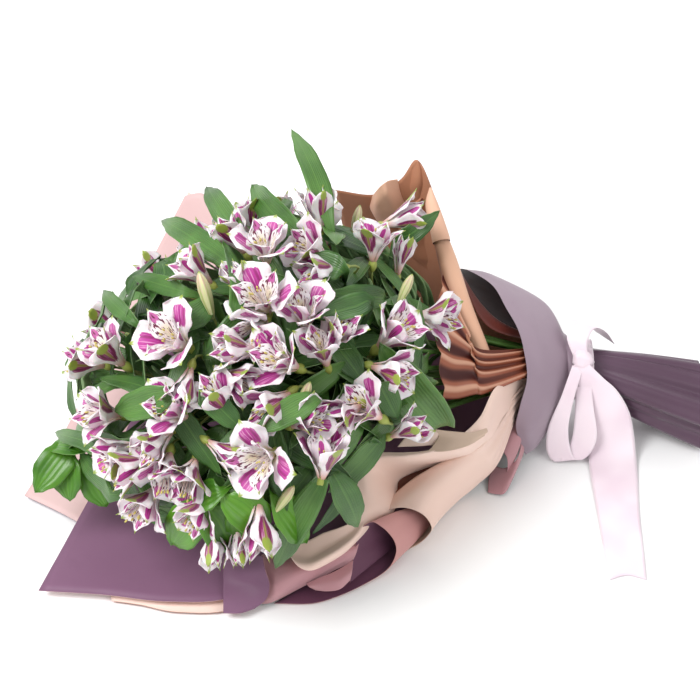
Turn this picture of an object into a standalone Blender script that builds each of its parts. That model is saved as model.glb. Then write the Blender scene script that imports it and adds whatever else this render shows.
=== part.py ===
"""A bouquet of striped alstroemeria, wrapped in two-tone film and tied with a ribbon, lying on a table.

Every length in this file is in millimetres, and MM turns it into Blender's metres when a mesh is made. The
origin is on the table under the flower head. The stems run towards +X, the far side is +Y and +Z is up.
"""

import math
import random

import bpy
from mathutils import Matrix, Vector
from mathutils.bvhtree import BVHTree

MM = 0.001

# Driving dimensions of the flower head, an upright dome of blooms in front of the tie
HEAD_CENTRE = Vector((0, 25, 100))
HEAD_RADII = Vector((165, 172, 150))
HEAD_CORE = Vector((110, 62, 78))
LOWEST_BLOOM = 26

# The tie, where film and stems are drawn together
NECK = Vector((282, 100, 57))
TAIL_END = Vector((384, 80, 37))
STEM_RADIUS = 2.1
STEM_SPACING = 6.2
NECK_PLACES = (232, 258, 279)
BASE_NECK = 23.8
NECK_LAYER = 1.6
BASE_NECK_START = 112
BASE_NECK_SWEEP = 136
COPPER_NECK_RADIUS = 16.4
INNER_NECK_RADIUS = 17.6
CREAM_NECK_RADIUS = 20
FOLD_NECK_RADIUS = 21.4
COLLAR_NECK_RINGS = ((277, 25.8), (292, 26.5))

# How fast the bundle widens from the tie towards the head: everywhere, then more at the top and at the
# sides
SPREAD_ROUND = 0.24
SPREAD_TOP = 0.12
SPREAD_NEAR = 0.06
SPREAD_SIDES = 0.12

# One flower
TEPAL_LENGTH = 44
OUTER_HALF_WIDTH = 13.5
INNER_HALF_WIDTH = 9
OVARY_RADIUS = 3.6
PEDICEL_RADIUS = 1.5
PEDICEL_REACH = 20
UMBEL_DEPTH = 40
LOWEST_UMBEL = 20
BLADE_THICKNESS = 1.3
BLADE_CUP = 0.16
CLEARANCE = 0.9

# How a tepal leans away from the flower's axis, in degrees: at its foot and at its end, each as the lean
# of a closed flower and what full openness adds. Then where it starts, as distance from the axis and
# height
OUTER_FOOT_LEAN = (12, 14)
OUTER_END_LEAN = (-8, 98)
INNER_FOOT_LEAN = (2, 12)
INNER_END_LEAN = (-6, 66)
OUTER_START = (3.6, 5.0)
INNER_START = (1.8, 5.0)
TEPAL_ROOT = 6
CLOSED_NARROWING = 0.42
OUTER_CUP = 0.2
INNER_CUP = 0.3

# Heights of an ovary's points above the flower's foot, and a bud's profile as (share of its length, radius)
OVARY_BOTTOM = -3
OVARY_LOWER = 2
OVARY_UPPER = 7
OVARY_TOP = 9
BUD_FOOT = 4
BUD_FOOT_RADIUS = 1.4
BUD_TIP_RADIUS = 0.8
BUD_PROFILE = ((0.2, 4.6), (0.6, 6.4))

# How far along a tepal its rows and its tip lie, and the share of the half width that each row has
OUTER_FRACTIONS = (0.5, 0.86, 1)
OUTER_SHARES = (0.84, 0.92)
INNER_FRACTIONS = (0.68, 1)
INNER_SHARES = (1,)

# Rows and columns of the base films' solids
BASE_ROWS = 8
BASE_COLUMNS = 8

# The base films climb behind the head, from this far back, and again towards the tie
BACK_CLIMB_FROM = 40
BACK_CLIMB_REACH = 286
BACK_CLIMB_HEIGHT = 90
BACK_CLIMB_POWER = 1.8
TIE_CLIMB_FROM = 200
TIE_CLIMB_REACH = 45
TIE_CLIMB_HEIGHT = 14

# Wrapping film and ribbon
FILM_THICKNESS = 0.8
FILM_LAYER = 3
GATHER_POWER = 0.55
GATHER_LENGTH = 260
RIBBON_THICKNESS = 0.8

# The layout is made along sight lines from one viewpoint in front of and above the head
VIEW_RISE = math.radians(42)
VIEW_TARGET = Vector((75, 86, 90))
VIEW_DISTANCE = 1500
FORWARD = Vector((0, math.cos(VIEW_RISE), -math.sin(VIEW_RISE)))
UPWARD = Vector((0, math.sin(VIEW_RISE), math.cos(VIEW_RISE)))
RIGHT = Vector((1, 0, 0))
VIEWPOINT = VIEW_TARGET - VIEW_DISTANCE * FORWARD

# One row for each bloom: the stem that carries it, how far across and up it is seen from the middle of
# the view, how far it stands out of the dome, the way its mouth points as seen (0 right, 90 up), how much
# it turns to the viewer, how open it is and its size
BLOOMS = (
    ("stem_01", -213, -5, 4, 135, 20, 0.60, 1.0),
    ("stem_01", -236, -12, 0, 172, 12, 0.50, 0.9),
    ("stem_01", -220, -58, 2, 170, 30, 0.72, 1.0),
    ("stem_01", -204, -90, 4, 205, 20, 0.60, 1.0),
    ("stem_02", -154, 5, 8, 150, 48, 0.90, 1.12),
    ("stem_02", -156, -56, 6, 150, 42, 0.72, 1.0),
    ("stem_02", -172, -82, 2, 222, 25, 0.50, 0.95),
    ("stem_02", -144, -31, 10, 260, 15, 0.30, 0.9),
    ("stem_03", -187, -102, 8, 200, 10, 0.50, 1.0),
    ("stem_03", -163, -105, 6, 268, 30, 0.70, 1.0),
    ("stem_03", -180, -134, 4, 240, 20, 0.65, 1.0),
    ("stem_03", -144, -110, 4, 250, 30, 0.60, 0.95),
    ("stem_04", -116, -48, 6, 125, 20, 0.45, 1.0),
    ("stem_04", -105, -26, 4, -30, 20, 0.40, 0.9),
    ("stem_04", -97, -3, 8, 180, 12, 0.45, 1.0),
    ("stem_04", -118, -90, 2, -30, 15, 0.20, 0.9),
    ("stem_05", -136, 66, 4, 145, 15, 0.50, 0.95),
    ("stem_05", -97, 56, 4, 130, 20, 0.25, 0.85),
    ("stem_05", -103, 100, 0, 130, 10, 0.40, 0.95),
    ("stem_06", -77, 86, 6, 100, 40, 0.80, 1.0),
    ("stem_06", -79, 39, 8, 120, 52, 0.80, 1.08),
    ("stem_06", -83, 16, 6, 240, 42, 0.70, 1.0),
    ("stem_07", -30, 118, 4, 102, 10, 0.35, 1.0),
    ("stem_07", -34, 84, 6, 160, 25, 0.60, 1.0),
    ("stem_07", -25, 66, 8, 200, 15, 0.50, 0.95),
    ("stem_08", 42, 115, 4, 10, 10, 0.35, 1.05),
    ("stem_08", 19, 89, 6, 90, 15, 0.60, 0.95),
    ("stem_08", 44, 79, 2, 88, 10, 0.15, 0.85),
    ("stem_09", -43, 27, 8, 100, 35, 0.70, 1.0),
    ("stem_09", -62, -14, 12, 160, 35, 0.75, 1.12),
    ("stem_09", -26, -4, 6, 110, 30, 0.50, 0.95),
    ("stem_09", -14, 11, 4, 60, 30, 0.50, 0.9),
    ("stem_10", 31, 9, 10, 45, 25, 0.70, 1.12),
    ("stem_10", 71, 28, 4, -15, 20, 0.60, 1.0),
    ("stem_10", 28, -20, 8, -20, 20, 0.50, 0.95),
    ("stem_11", 12, -54, 8, 150, 20, 0.70, 1.0),
    ("stem_11", -5, -56, 6, 205, 15, 0.50, 0.9),
    ("stem_11", 47, -73, 2, 30, 20, 0.40, 0.85),
    ("stem_12", -78, -95, 12, 200, 55, 0.90, 1.12),
    ("stem_12", -68, -48, 8, 215, 15, 0.45, 1.0),
    ("stem_12", -43, -65, 6, 20, 30, 0.50, 0.9),
    ("stem_13", -28, -97, 12, 88, 15, 0.45, 1.15),
    ("stem_13", -83, -147, 14, 270, 10, 0.30, 1.15),
    ("stem_14", -120, -163, 10, 285, 5, 0.25, 0.95),
    ("stem_14", -102, -165, 8, 275, 5, 0.15, 0.8),
    ("stem_14", -133, -140, 6, 245, 20, 0.60, 0.9),
)

# How much a bloom leans outward from the dome, and the way the far blooms lean
OUTWARD_LEAN = 0.25
FAR_LEAN = Vector((-0.5, 0, 0.1))

# Yellow-green buds, with the same columns
BUDS = (
    ("stem_05", -128, 45, 10, 105, 10, 0.0, 0.85),
    ("stem_09", -43, -42, 8, 70, 20, 0.0, 0.62),
    ("stem_08", 5, 116, 2, 80, 10, 0.0, 0.62),
    ("stem_13", -60, -129, 10, 60, 10, 0.0, 0.62),
    ("stem_10", 46, 52, 6, 70, 10, 0.0, 0.62),
)

# Blooms on the side away from the viewer: their stem, their bearing and rise on the dome, how near its
# surface they stand, and how open they are
FAR_BLOOMS = (
    ("stem_15", 62, 14, 0.95, 0.6),
    ("stem_15", 84, 34, 0.95, 0.7),
    ("stem_15", 60, 48, 0.92, 0.5),
    ("stem_16", 112, 14, 0.95, 0.7),
    ("stem_16", 118, 38, 0.85, 0.6),
    ("stem_16", 138, 22, 0.85, 0.5),
    ("stem_07", 100, 56, 0.9, 0.6),
    ("stem_05", 135, 26, 0.76, 0.6),
    ("stem_01", 160, 10, 0.9, 0.6),
)


def view_line(across, up):
    """Direction from the viewpoint through a place seen so far across and up from the middle of the view."""
    return (VIEW_TARGET + across * RIGHT + up * UPWARD - VIEWPOINT).normalized()


def on_head(across, up, lift):
    """The place on the flower dome that is seen there, or beside it where it is missed, and outward."""
    line = view_line(across, up)
    start = Vector((VIEWPOINT[k] - HEAD_CENTRE[k]) / HEAD_RADII[k] for k in range(3))
    way = Vector(line[k] / HEAD_RADII[k] for k in range(3))
    closest = -start.dot(way) / way.dot(way)
    inside = 1 - (start + way * closest).length_squared
    if inside > 0:
        closest -= math.sqrt(inside / way.dot(way))
    unit = start + way * closest
    outward = Vector(unit[k] / HEAD_RADII[k] for k in range(3)).normalized()
    place = HEAD_CENTRE + Vector(unit[k] * HEAD_RADII[k] for k in range(3)) + outward * lift
    if place.z < LOWEST_BLOOM:
        place += line * ((LOWEST_BLOOM - place.z) / line.z)
    return place, outward


def smooth_line(points, count):
    """Evenly numbered points on a smooth line through the given ones."""
    ends = [2 * points[0] - points[1], *points, 2 * points[-1] - points[-2]]
    line = []
    for step in range(count):
        place = step / (count - 1) * (len(points) - 1)
        k = min(int(place), len(points) - 2)
        t = place - k
        a, b, c, d = ends[k : k + 4]
        bent = (2 * a - 5 * b + 4 * c - d) * t**2 + (3 * b - a - 3 * c + d) * t**3
        line.append(0.5 * (2 * b + (c - a) * t + bent))
    return line


def smooth_grid(net, rows, columns):
    """A smooth surface through a coarse net of points, as rows of points."""
    wide = [smooth_line([Vector(point) for point in row], columns) for row in net]
    tall = [smooth_line(list(column), rows) for column in zip(*wide)]
    return [list(row) for row in zip(*tall)]


def sheet(grid, thickness, ring=False):
    """A closed sheet of even thickness about a grid of points. A ring joins the last column to the first."""
    rows = len(grid)
    columns = len(grid[0])
    points = []
    for side in (0.5, -0.5):
        for i in range(rows):
            for j in range(columns):
                before = grid[i][(j - 1) % columns] if ring or j else grid[i][0]
                after = grid[i][(j + 1) % columns] if ring or j < columns - 1 else grid[i][-1]
                down = grid[min(i + 1, rows - 1)][j] - grid[max(i - 1, 0)][j]
                normal = down.cross(after - before).normalized()
                points.append(grid[i][j] + normal * thickness * side)
    half = rows * columns
    last = columns if ring else columns - 1
    faces = []
    for i in range(rows - 1):
        for j in range(last):
            a = i * columns + j
            b = i * columns + (j + 1) % columns
            c = a + columns
            d = b + columns
            faces += [(a, c, b), (b, c, d)]
            faces += [(a + half, b + half, c + half), (b + half, d + half, c + half)]
    for j in range(last):
        a = j
        b = (j + 1) % columns
        faces += [(a, b, a + half), (b, b + half, a + half)]
        a += (rows - 1) * columns
        b += (rows - 1) * columns
        faces += [(b, a, b + half), (a, a + half, b + half)]
    if not ring:
        for i in range(rows - 1):
            a = i * columns
            b = a + columns
            faces += [(b, a, b + half), (a, a + half, b + half)]
            a += columns - 1
            b += columns - 1
            faces += [(a, b, a + half), (b, b + half, a + half)]
    return points, faces


def tube(line, radii, sides):
    """A closed round bar along a line, with its own radius at each point."""
    points = []
    way = (line[1] - line[0]).normalized()
    across = way.orthogonal().normalized()
    for k, place in enumerate(line):
        way = (line[min(k + 1, len(line) - 1)] - line[max(k - 1, 0)]).normalized()
        across = (across - way * across.dot(way)).normalized()
        over = way.cross(across)
        for side in range(sides):
            turn = math.tau * side / sides
            points.append(place + radii[k] * (math.cos(turn) * across + math.sin(turn) * over))
    faces = []
    for k in range(len(line) - 1):
        for side in range(sides):
            a = k * sides + side
            b = k * sides + (side + 1) % sides
            faces += [(a, b, a + sides), (b, b + sides, a + sides)]
    top = (len(line) - 1) * sides
    for side in range(1, sides - 1):
        faces += [(0, side + 1, side), (top, top + side, top + side + 1)]
    return points, faces


def blade(line, half_widths, facing, cup, swell=0.0):
    """A closed thin leaf: a root point, a row of four points at each inner place of the line, and a tip."""
    points = [line[0]]
    for k in range(1, len(line) - 1):
        way = (line[k + 1] - line[k - 1]).normalized()
        side = way.cross(facing[k]).normalized()
        face = side.cross(way).normalized()
        half = half_widths[k - 1] + swell
        thick = (BLADE_THICKNESS + swell) / 2
        points.append(line[k] + side * half + face * cup * half)
        points.append(line[k] + face * thick)
        points.append(line[k] - side * half + face * cup * half)
        points.append(line[k] - face * thick)
    points.append(line[-1])
    rows = len(line) - 2
    faces = []
    for j in range(4):
        a = 1 + j
        b = 1 + (j + 1) % 4
        faces.append((0, a, b))
        for row in range(rows - 1):
            c = a + 4 * row
            d = b + 4 * row
            faces += [(c, c + 4, d), (d, c + 4, d + 4)]
        far = 4 * (rows - 1)
        faces.append((a + far, len(points) - 1, b + far))
    return points, faces


def tepal_line(openness, length, outer, fractions):
    """Places along a tepal as (distance from the axis, height up it)."""
    foot_lean, end_lean = (OUTER_FOOT_LEAN, OUTER_END_LEAN) if outer else (INNER_FOOT_LEAN, INNER_END_LEAN)
    start = math.radians(foot_lean[0] + foot_lean[1] * openness)
    end = math.radians(end_lean[0] + end_lean[1] * openness)
    out, high = OUTER_START if outer else INNER_START
    steps = 20
    track = [(out, high)]
    for step in range(steps):
        t = (step + 0.5) / steps
        bend = start + (end - start) * t**1.5
        out += math.sin(bend) * length / steps
        high += math.cos(bend) * length / steps
        track.append((out, high))
    return [track[round(fraction * steps)] for fraction in fractions]


def bloom_frame(axis, roll):
    """Two directions across a bloom's axis, turned by the roll."""
    side = axis.orthogonal().normalized()
    turned = Matrix.Rotation(roll, 3, axis) @ side
    return turned, axis.cross(turned)


def diamond(middle, across, face, half, thick, cup):
    """Four points round a place on a tepal: its two edges, which the cup lifts, and its two sides."""
    edge = across * half
    rise = face * cup * half
    return [middle + edge + rise, middle + face * thick, middle - edge + rise, middle - face * thick]


def bloom(heart, axis, openness, size, roll, swell=0.0):
    """One flower as a closed shape, and its foot. Its six tepals grow out of an ovary ringed by diamonds."""
    foot = heart - axis * TEPAL_LENGTH * size * 0.45
    side, over = bloom_frame(axis, roll)
    spokes = [math.cos(math.pi * k / 6) * side + math.sin(math.pi * k / 6) * over for k in range(12)]
    stout = OVARY_RADIUS * size + swell
    lower = [foot + spokes[2 * k] * stout + axis * OVARY_LOWER for k in range(6)]
    middle = [foot + spokes[2 * k + 1] * (stout + 0.5) + axis * OVARY_UPPER for k in range(6)]
    points = [foot + axis * OVARY_BOTTOM, foot + axis * OVARY_TOP, *lower, *middle]
    faces = []
    for k in range(6):
        after = (k + 1) % 6
        faces += [(0, 2 + after, 2 + k), (2 + k, 2 + after, 8 + k)]
    narrow = CLOSED_NARROWING + (1 - CLOSED_NARROWING) * min(1, openness * 1.7)
    thick = (BLADE_THICKNESS + swell) / 2
    for k in range(6):
        outer = k % 2 == 0
        spoke = spokes[2 * k]
        fractions, shares = (OUTER_FRACTIONS, OUTER_SHARES) if outer else (INNER_FRACTIONS, INNER_SHARES)
        cup = OUTER_CUP if outer else INNER_CUP
        half_width = (OUTER_HALF_WIDTH if outer else INNER_HALF_WIDTH) * size * narrow
        track = tepal_line(openness, (TEPAL_LENGTH - TEPAL_ROOT) * size, outer, fractions)
        line = [foot + spoke * out + axis * high for out, high in track]
        ends = [line[0], *line]
        across = axis.cross(spoke)
        ring = [8 + k, 1, 8 + (k - 1) % 6, 2 + k]
        for row, share in enumerate(shares):
            way = (line[row + 1] - ends[row]).normalized()
            face = way.cross(across)
            start = len(points)
            points += diamond(line[row], across, face, half_width * share + swell, thick, cup)
            for j in range(4):
                a = ring[j]
                b = ring[(j + 1) % 4]
                faces += [(a, b, start + j), (b, start + (j + 1) % 4, start + j)]
            ring = [start, start + 1, start + 2, start + 3]
        points.append(line[-1])
        for j in range(4):
            faces.append((ring[j], ring[(j + 1) % 4], len(points) - 1))
    return (points, faces), foot


def bud(heart, axis, size, swell=0.0):
    """A closed bud, as a pointed spindle, and its foot."""
    length = TEPAL_LENGTH * size
    foot = heart - axis * length * 0.5
    swollen = [foot + axis * length * share for share, _ in BUD_PROFILE]
    line = [foot - axis * BUD_FOOT, *swollen, foot + axis * length]
    radii = [BUD_FOOT_RADIUS, *(radius * size + swell for _, radius in BUD_PROFILE), BUD_TIP_RADIUS]
    return tube(line, radii, 5), foot


class Placed:
    """Everything placed so far, kept as search trees, so that a new shape can be tested against it."""

    def __init__(self):
        self.items = []

    @staticmethod
    def box(points):
        low = Vector(min(point[k] for point in points) for k in range(3))
        high = Vector(max(point[k] for point in points) for k in range(3))
        return low, high

    def add(self, owner, shape, stalk=False):
        points, faces = shape
        self.items.append((owner, stalk, self.box(points), BVHTree.FromPolygons(points, faces)))

    def clear(self, owner, shape):
        """Whether the shape touches nothing, apart from its own owner's stalks."""
        points, faces = shape
        low, high = self.box(points)
        tree = None
        for other, stalk, (other_low, other_high), other_tree in self.items:
            if stalk and other == owner:
                continue
            if any(low[k] > other_high[k] or high[k] < other_low[k] for k in range(3)):
                continue
            tree = tree or BVHTree.FromPolygons(points, faces)
            if tree.overlap(other_tree):
                return False
        return True


def neck_point(x, angle, radius):
    """A place on a circle about the neck. The angle runs from the top towards the near side."""
    along = (x - NECK.x) / (TAIL_END.x - NECK.x)
    centre_y = NECK.y + (TAIL_END.y - NECK.y) * max(0, along)
    centre_z = NECK.z + (TAIL_END.z - NECK.z) * max(0, along)
    turn = math.radians(angle)
    return Vector((x, centre_y - radius * math.sin(turn), centre_z + radius * math.cos(turn)))


def neck_spread(angle):
    """How fast the bundle of stems widens from the tie towards the head, by the direction about the neck."""
    turn = math.radians(angle)
    top = SPREAD_TOP * math.cos(turn)
    near = SPREAD_NEAR * math.sin(turn)
    return SPREAD_ROUND + top + near + SPREAD_SIDES * abs(math.sin(turn))


def neck_row(x, radius, angles):
    """Places round the neck, for the gathered end of a film. It widens with the stems inside it."""
    before = max(0, NECK.x - x)
    return [neck_point(x, angle, radius + before * neck_spread(angle)) for angle in angles]


def neck_rows(radius, angles):
    """The gathered end of a film, from inside the collar's mouth to the tie."""
    return [neck_row(x, radius, angles) for x in NECK_PLACES]


def ground_film(rows, layer, neck_radius):
    """A base film: rows of plan positions, flat but for a climb behind the head, then the gathered neck."""
    plan = smooth_grid([[(x, y, 0) for x, y in row] for row in rows], BASE_ROWS, BASE_COLUMNS)
    for line in plan:
        for place in line:
            back = max(0, place.y - BACK_CLIMB_FROM) / BACK_CLIMB_REACH
            tie = max(0, place.x - TIE_CLIMB_FROM) / TIE_CLIMB_REACH
            climb = BACK_CLIMB_HEIGHT * back**BACK_CLIMB_POWER + TIE_CLIMB_HEIGHT * tie**2
            place.z = FILM_THICKNESS / 2 + layer * FILM_LAYER + climb
    angles = [BASE_NECK_START + BASE_NECK_SWEEP * k / (BASE_COLUMNS - 1) for k in range(BASE_COLUMNS)]
    return [*plan, *neck_rows(neck_radius, angles)[1:]]


CREAM_BASE = (
    ((-126, -134), (-152, -20), (-158, 70), (-142, 160), (-117, 250), (-89, 324)),
    ((-90, -140), (-100, -30), (-100, 60), (-90, 150), (-72, 230), (-62, 305)),
    ((-30, -146), (-20, -50), (0, 40), (10, 130), (10, 205), (-19, 262)),
    ((60, -84), (80, -36), (98, 30), (110, 108), (116, 172), (60, 236)),
    ((146, -30), (163, 6), (176, 45), (182, 88), (188, 132), (176, 176)),
    ((226, 52), (232, 66), (238, 82), (240, 98), (240, 114), (236, 132)),
)
PINK_BASE = (
    ((-217, -15), (-196, 50), (-177, 112), (-155, 180), (-122, 255), (-92, 318)),
    ((-164, -46), (-140, 30), (-120, 100), (-95, 175), (-78, 240), (-66, 318)),
    ((-70, -96), (-50, -20), (-30, 60), (-12, 140), (0, 205), (-34, 285)),
    ((60, -82), (80, -34), (98, 30), (110, 107), (114, 168), (62, 228)),
    ((146, -28), (163, 7), (176, 45), (182, 87), (188, 129), (176, 170)),
    ((226, 54), (232, 67), (238, 82), (240, 97), (240, 112), (236, 128)),
)
PLUM_BASE = (
    ((-188, -128), (-160, -30), (-142, 30), (-118, 115), (-80, 205), (-32, 291)),
    ((-110, -134), (-90, -40), (-70, 35), (-45, 120), (-22, 195), (2, 270)),
    ((-34, -139), (-10, -50), (10, 30), (30, 115), (50, 175), (52, 236)),
    ((60, -80), (80, -32), (98, 30), (111, 105), (118, 160), (104, 206)),
    ((146, -26), (163, 8), (176, 45), (182, 86), (188, 126), (176, 164)),
    ((226, 56), (232, 68), (238, 82), (240, 96), (240, 110), (236, 124)),
)

# The far wall, from its rim down to its foot, one row for each place along the rim. The last row is at
# the neck
COPPER_WALL = (
    ((61, 221, 170), (66, 232, 130), (72, 238, 95), (80, 236, 60)),
    ((98, 214, 170), (104, 222, 130), (110, 222, 92), (118, 216, 56)),
    ((122, 216, 186), (130, 214, 138), (138, 206, 94), (146, 196, 48)),
    ((137, 220, 205), (148, 204, 146), (158, 188, 94), (168, 172, 36)),
    ((152, 196, 184), (168, 182, 134), (180, 168, 86), (190, 154, 28)),
    ((164, 154, 160), (180, 147, 122), (192, 141, 80), (200, 134, 28)),
    ((180, 116, 136), (200, 122, 106), (210, 128, 72), (216, 124, 32)),
    ((202, 88, 114), (222, 108, 98), (231, 124, 66), (236, 122, 40)),
)
COPPER_NECK = (-8, -50, -90, -130)

# Films by rows of places (across and up as seen, and height above the table): the near cream film from
# its wavy rim outwards, its lower fold and its curled top, the plum film's scroll, roll, flap and hem,
# and the inner copper
CREAM_RUFFLE = (
    ((-56, -183, 42), (-55, -190, 38), (-49, -197, 33)),
    ((-25, -165, 50), (-25, -178, 44), (-22, -192, 33)),
    ((2, -151, 52), (0, -162, 48), (-2, -176, 32)),
    ((11, -136, 56), (16, -143, 52), (15, -160, 30)),
    ((6, -122, 66), (22, -129, 60), (30, -143, 36)),
    ((4, -109, 76), (24, -116, 68), (42, -133, 40)),
    ((11, -99, 84), (32, -105, 76), (53, -123, 44)),
    ((25, -93, 88), (45, -100, 84), (64, -114, 48)),
    ((50, -93, 90), (64, -97, 88), (74, -107, 54)),
    ((73, -89, 94), (82, -93, 92), (88, -103, 60)),
    ((95, -82, 98), (102, -87, 96), (105, -96, 66)),
    ((125, -54, 104), (123, -68, 100), (123, -82, 72)),
    ((134, -20, 106), (138, -34, 100), (140, -53, 78)),
)
CREAM_FOLD = (
    ((19, -151, 28), (32, -145, 38), (45, -143, 44), (60, -146, 44), (70, -152, 38), (75, -162, 27),
     (70, -169, 18), (60, -175, 9), (52, -179, 4)),
    ((38, -133, 36), (48, -128, 46), (60, -127, 53), (72, -131, 51), (81, -137, 42), (86, -144, 29),
     (86, -150, 18), (83, -155, 9), (78, -159, 4)),
    ((64, -116, 46), (74, -110, 56), (83, -109, 62), (93, -113, 59), (101, -120, 47), (104, -127, 33),
     (103, -133, 20), (99, -138, 10), (93, -142, 4)),
    ((88, -103, 58), (96, -97, 66), (105, -96, 70), (113, -100, 65), (118, -106, 52), (121, -113, 37),
     (119, -120, 23), (114, -124, 12), (109, -127, 5)),
    ((111, -90, 66), (118, -84, 73), (124, -83, 75), (129, -87, 65), (133, -92, 57), (135, -95, 48),
     (136, -98, 40), (136, -100, 33), (135, -101, 28)),
)
CREAM_CURL = (
    ((79, -85, 90), (80, -74, 96), (68, -69, 102), (50, -74, 100), (34, -85, 94), (33, -93, 90),
     (47, -93, 88)),
    ((98, -80, 94), (99, -70, 100), (90, -66, 105), (76, -71, 104), (64, -79, 99), (62, -86, 95),
     (73, -88, 93)),
    ((120, -70, 100), (121, -63, 104), (115, -60, 107), (107, -63, 107), (100, -68, 104),
     (98, -74, 101), (105, -75, 99)),
)
PLUM_SCROLL = (
    ((7, -167, 34), (9, -160, 46), (19, -156, 52), (30, -160, 50), (37, -170, 40), (41, -183, 28),
     (39, -194, 16), (30, -204, 8), (14, -214, 4), (-5, -221, 2), (-27, -229, 1.5), (-52, -231, 1.5),
     (-72, -230, 1.5)),
    ((22, -158, 26), (25, -152, 34), (33, -150, 38), (41, -152, 36), (47, -160, 28), (50, -170, 19),
     (47, -179, 11), (38, -188, 6), (20, -198, 3), (0, -205, 2), (-23, -212, 1.5), (-45, -218, 1.5),
     (-64, -220, 1.5)),
    ((40, -147, 16), (43, -142, 21), (49, -141, 24), (55, -143, 22), (60, -150, 17), (62, -158, 11),
     (58, -165, 6), (49, -172, 3), (31, -182, 2), (11, -189, 2), (-11, -196, 1.5), (-33, -203, 1.5),
     (-49, -207, 1.5)),
)
PINK_ROLL = (
    ((-73, -226, 3), (-68, -213, 13), (-70, -198, 23), (-77, -182, 30), (-73, -171, 25)),
    ((-49, -216, 4), (-46, -203, 14), (-48, -191, 23), (-53, -179, 27), (-49, -167, 22)),
    ((-23, -207, 5), (-19, -196, 10), (-18, -184, 16), (-19, -173, 21), (-15, -162, 18)),
    ((0, -197, 6), (3, -185, 10), (5, -174, 16), (5, -165, 20), (10, -154, 16)),
)
PLUM_FLAP = (
    ((-115, -239, 9), (-115, -227, 11), (-115, -213, 13), (-115, -201, 16), (-115, -190, 20)),
    ((-100, -239, 9), (-95, -227, 13), (-93, -213, 18), (-96, -200, 28), (-97, -186, 33)),
    ((-85, -236, 9), (-77, -225, 15), (-73, -209, 25), (-79, -192, 38), (-79, -182, 43)),
)
PLUM_HEM = (
    ((126, -119, 6), (124, -108, 16), (129, -102, 24), (136, -104, 26), (142, -111, 20), (141, -119, 12),
     (134, -128, 5), (127, -133, 1.5)),
    ((137, -111, 8), (136, -100, 18), (141, -95, 26), (148, -97, 28), (154, -104, 21), (153, -111, 13),
     (147, -121, 6), (141, -128, 1.5)),
    ((147, -104, 9), (146, -93, 20), (151, -88, 28), (157, -89, 29), (162, -96, 22), (161, -103, 13),
     (156, -114, 6), (151, -122, 1.5)),
)
COPPER_INNER = (
    ((88, 68, 150), (83, 42, 150), (82, 12, 143), (84, -11, 133), (87, -32, 120), (83, -62, 102)),
    ((100, 44, 139), (102, 29, 137), (102, 9, 132), (103, -14, 122), (103, -34, 112), (96, -56, 100)),
    ((115, 15, 123), (119, 8, 121), (123, 0, 118), (125, -13, 110), (125, -27, 102), (118, -45, 96)),
)
CREAM_NECK = (62, 84, 106)
FOLD_NECK = (70, 76, 82, 88, 93, 98, 102, 105, 108)
INNER_NECK = (2, 12, 22, 31, 40, 49)

# Rolled places of the films: a middle line, its radii, where the roll starts and how far round it goes
COPPER_ROLL = (
    ((142, 214, 196), (154, 186, 180), (166, 154, 162), (180, 122, 142), (195, 92, 116)),
    (5, 10, 11, 10, 5),
)
COPPER_CURL = (((126, 203, 128), (120, 207, 150), (114, 209, 172), (108, 209, 186)), (5, 9, 13, 15))

# The collar band, as rings of places from its open mouth to the tie
COLLAR = (
    (
        (181, 160, 124), (204, 132, 129), (216, 104, 124), (226, 88, 113), (231, 72, 101),
        (233, 51, 87.5), (227, 37, 66.5), (225, 34, 41), (236, 33, 9), (236, 62, 5),
        (234, 100, 5), (226, 146, 8), (212, 180, 26), (194, 192, 60), (178, 186, 96),
    ),
    (
        (205, 158, 120), (224, 132, 121), (236, 106, 116), (244, 88, 106), (249, 72, 93),
        (250, 56, 76), (246, 41, 59.5), (240, 34.5, 40), (246, 38, 14), (246, 64, 9),
        (246, 100, 9), (242, 138, 12), (232, 164, 30), (218, 172, 58), (205, 172, 92),
    ),
    (
        (242, 144, 104), (256, 134, 104), (264, 112, 99), (268, 96, 92), (270, 82, 82),
        (270, 70, 68), (267, 61, 51), (262, 57, 34), (262, 64, 19), (262, 82, 15),
        (263, 104, 15), (262, 124, 21), (256, 138, 38), (248, 147, 60), (242, 149, 84),
    ),
)
COLLAR_ANGLES = (-20, 4, 28, 52, 76, 100, 124, 148, 172, 196, 220, 244, 268, 292, 316)

RIBBON_TAIL = (
    ((277, 72, 84), (284, 71, 87), (291, 71, 86)),
    ((280, 65, 72), (292, 64, 76), (304, 65, 75)),
    ((286, 61, 54), (302, 59, 60), (318, 61, 62)),
    ((292, 54, 34), (311, 52, 40), (330, 55, 42)),
    ((294, 46, 14), (315, 45, 19), (336, 49, 20)),
    ((294, 30, 3), (316, 30, 5), (338, 34, 5)),
    ((294, 8, 1), (316, 8, 1.4), (337, 9, 1)),
    ((295, -32, 1), (314, -32, 1.6), (333, -32, 1)),
    ((296, -74, 1), (313, -74, 1), (331, -74, 1)),
    ((297, -109, 1), (313, -104, 1), (329, -109, 1)),
)
RIBBON_LOOP = (
    ((276, 72, 84), (286, 70, 84)),
    ((266, 54, 62), (278, 54, 60)),
    ((256, 46, 30), (274, 42, 30)),
    ((256, 36, 8), (280, 30, 8)),
    ((266, 30, 3), (292, 30, 9)),
    ((278, 42, 20), (300, 38, 26)),
    ((280, 56, 48), (296, 54, 52)),
    ((280, 70, 80), (292, 68, 80)),
)
RIBBON_UPPER = (
    ((277, 80, 88), (290, 80, 88)),
    ((271, 88, 103), (290, 88, 100)),
    ((275, 102, 110), (298, 100, 104)),
    ((289, 116, 100), (310, 108, 92)),
    ((302, 124, 80), (320, 112, 74)),
)

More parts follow.
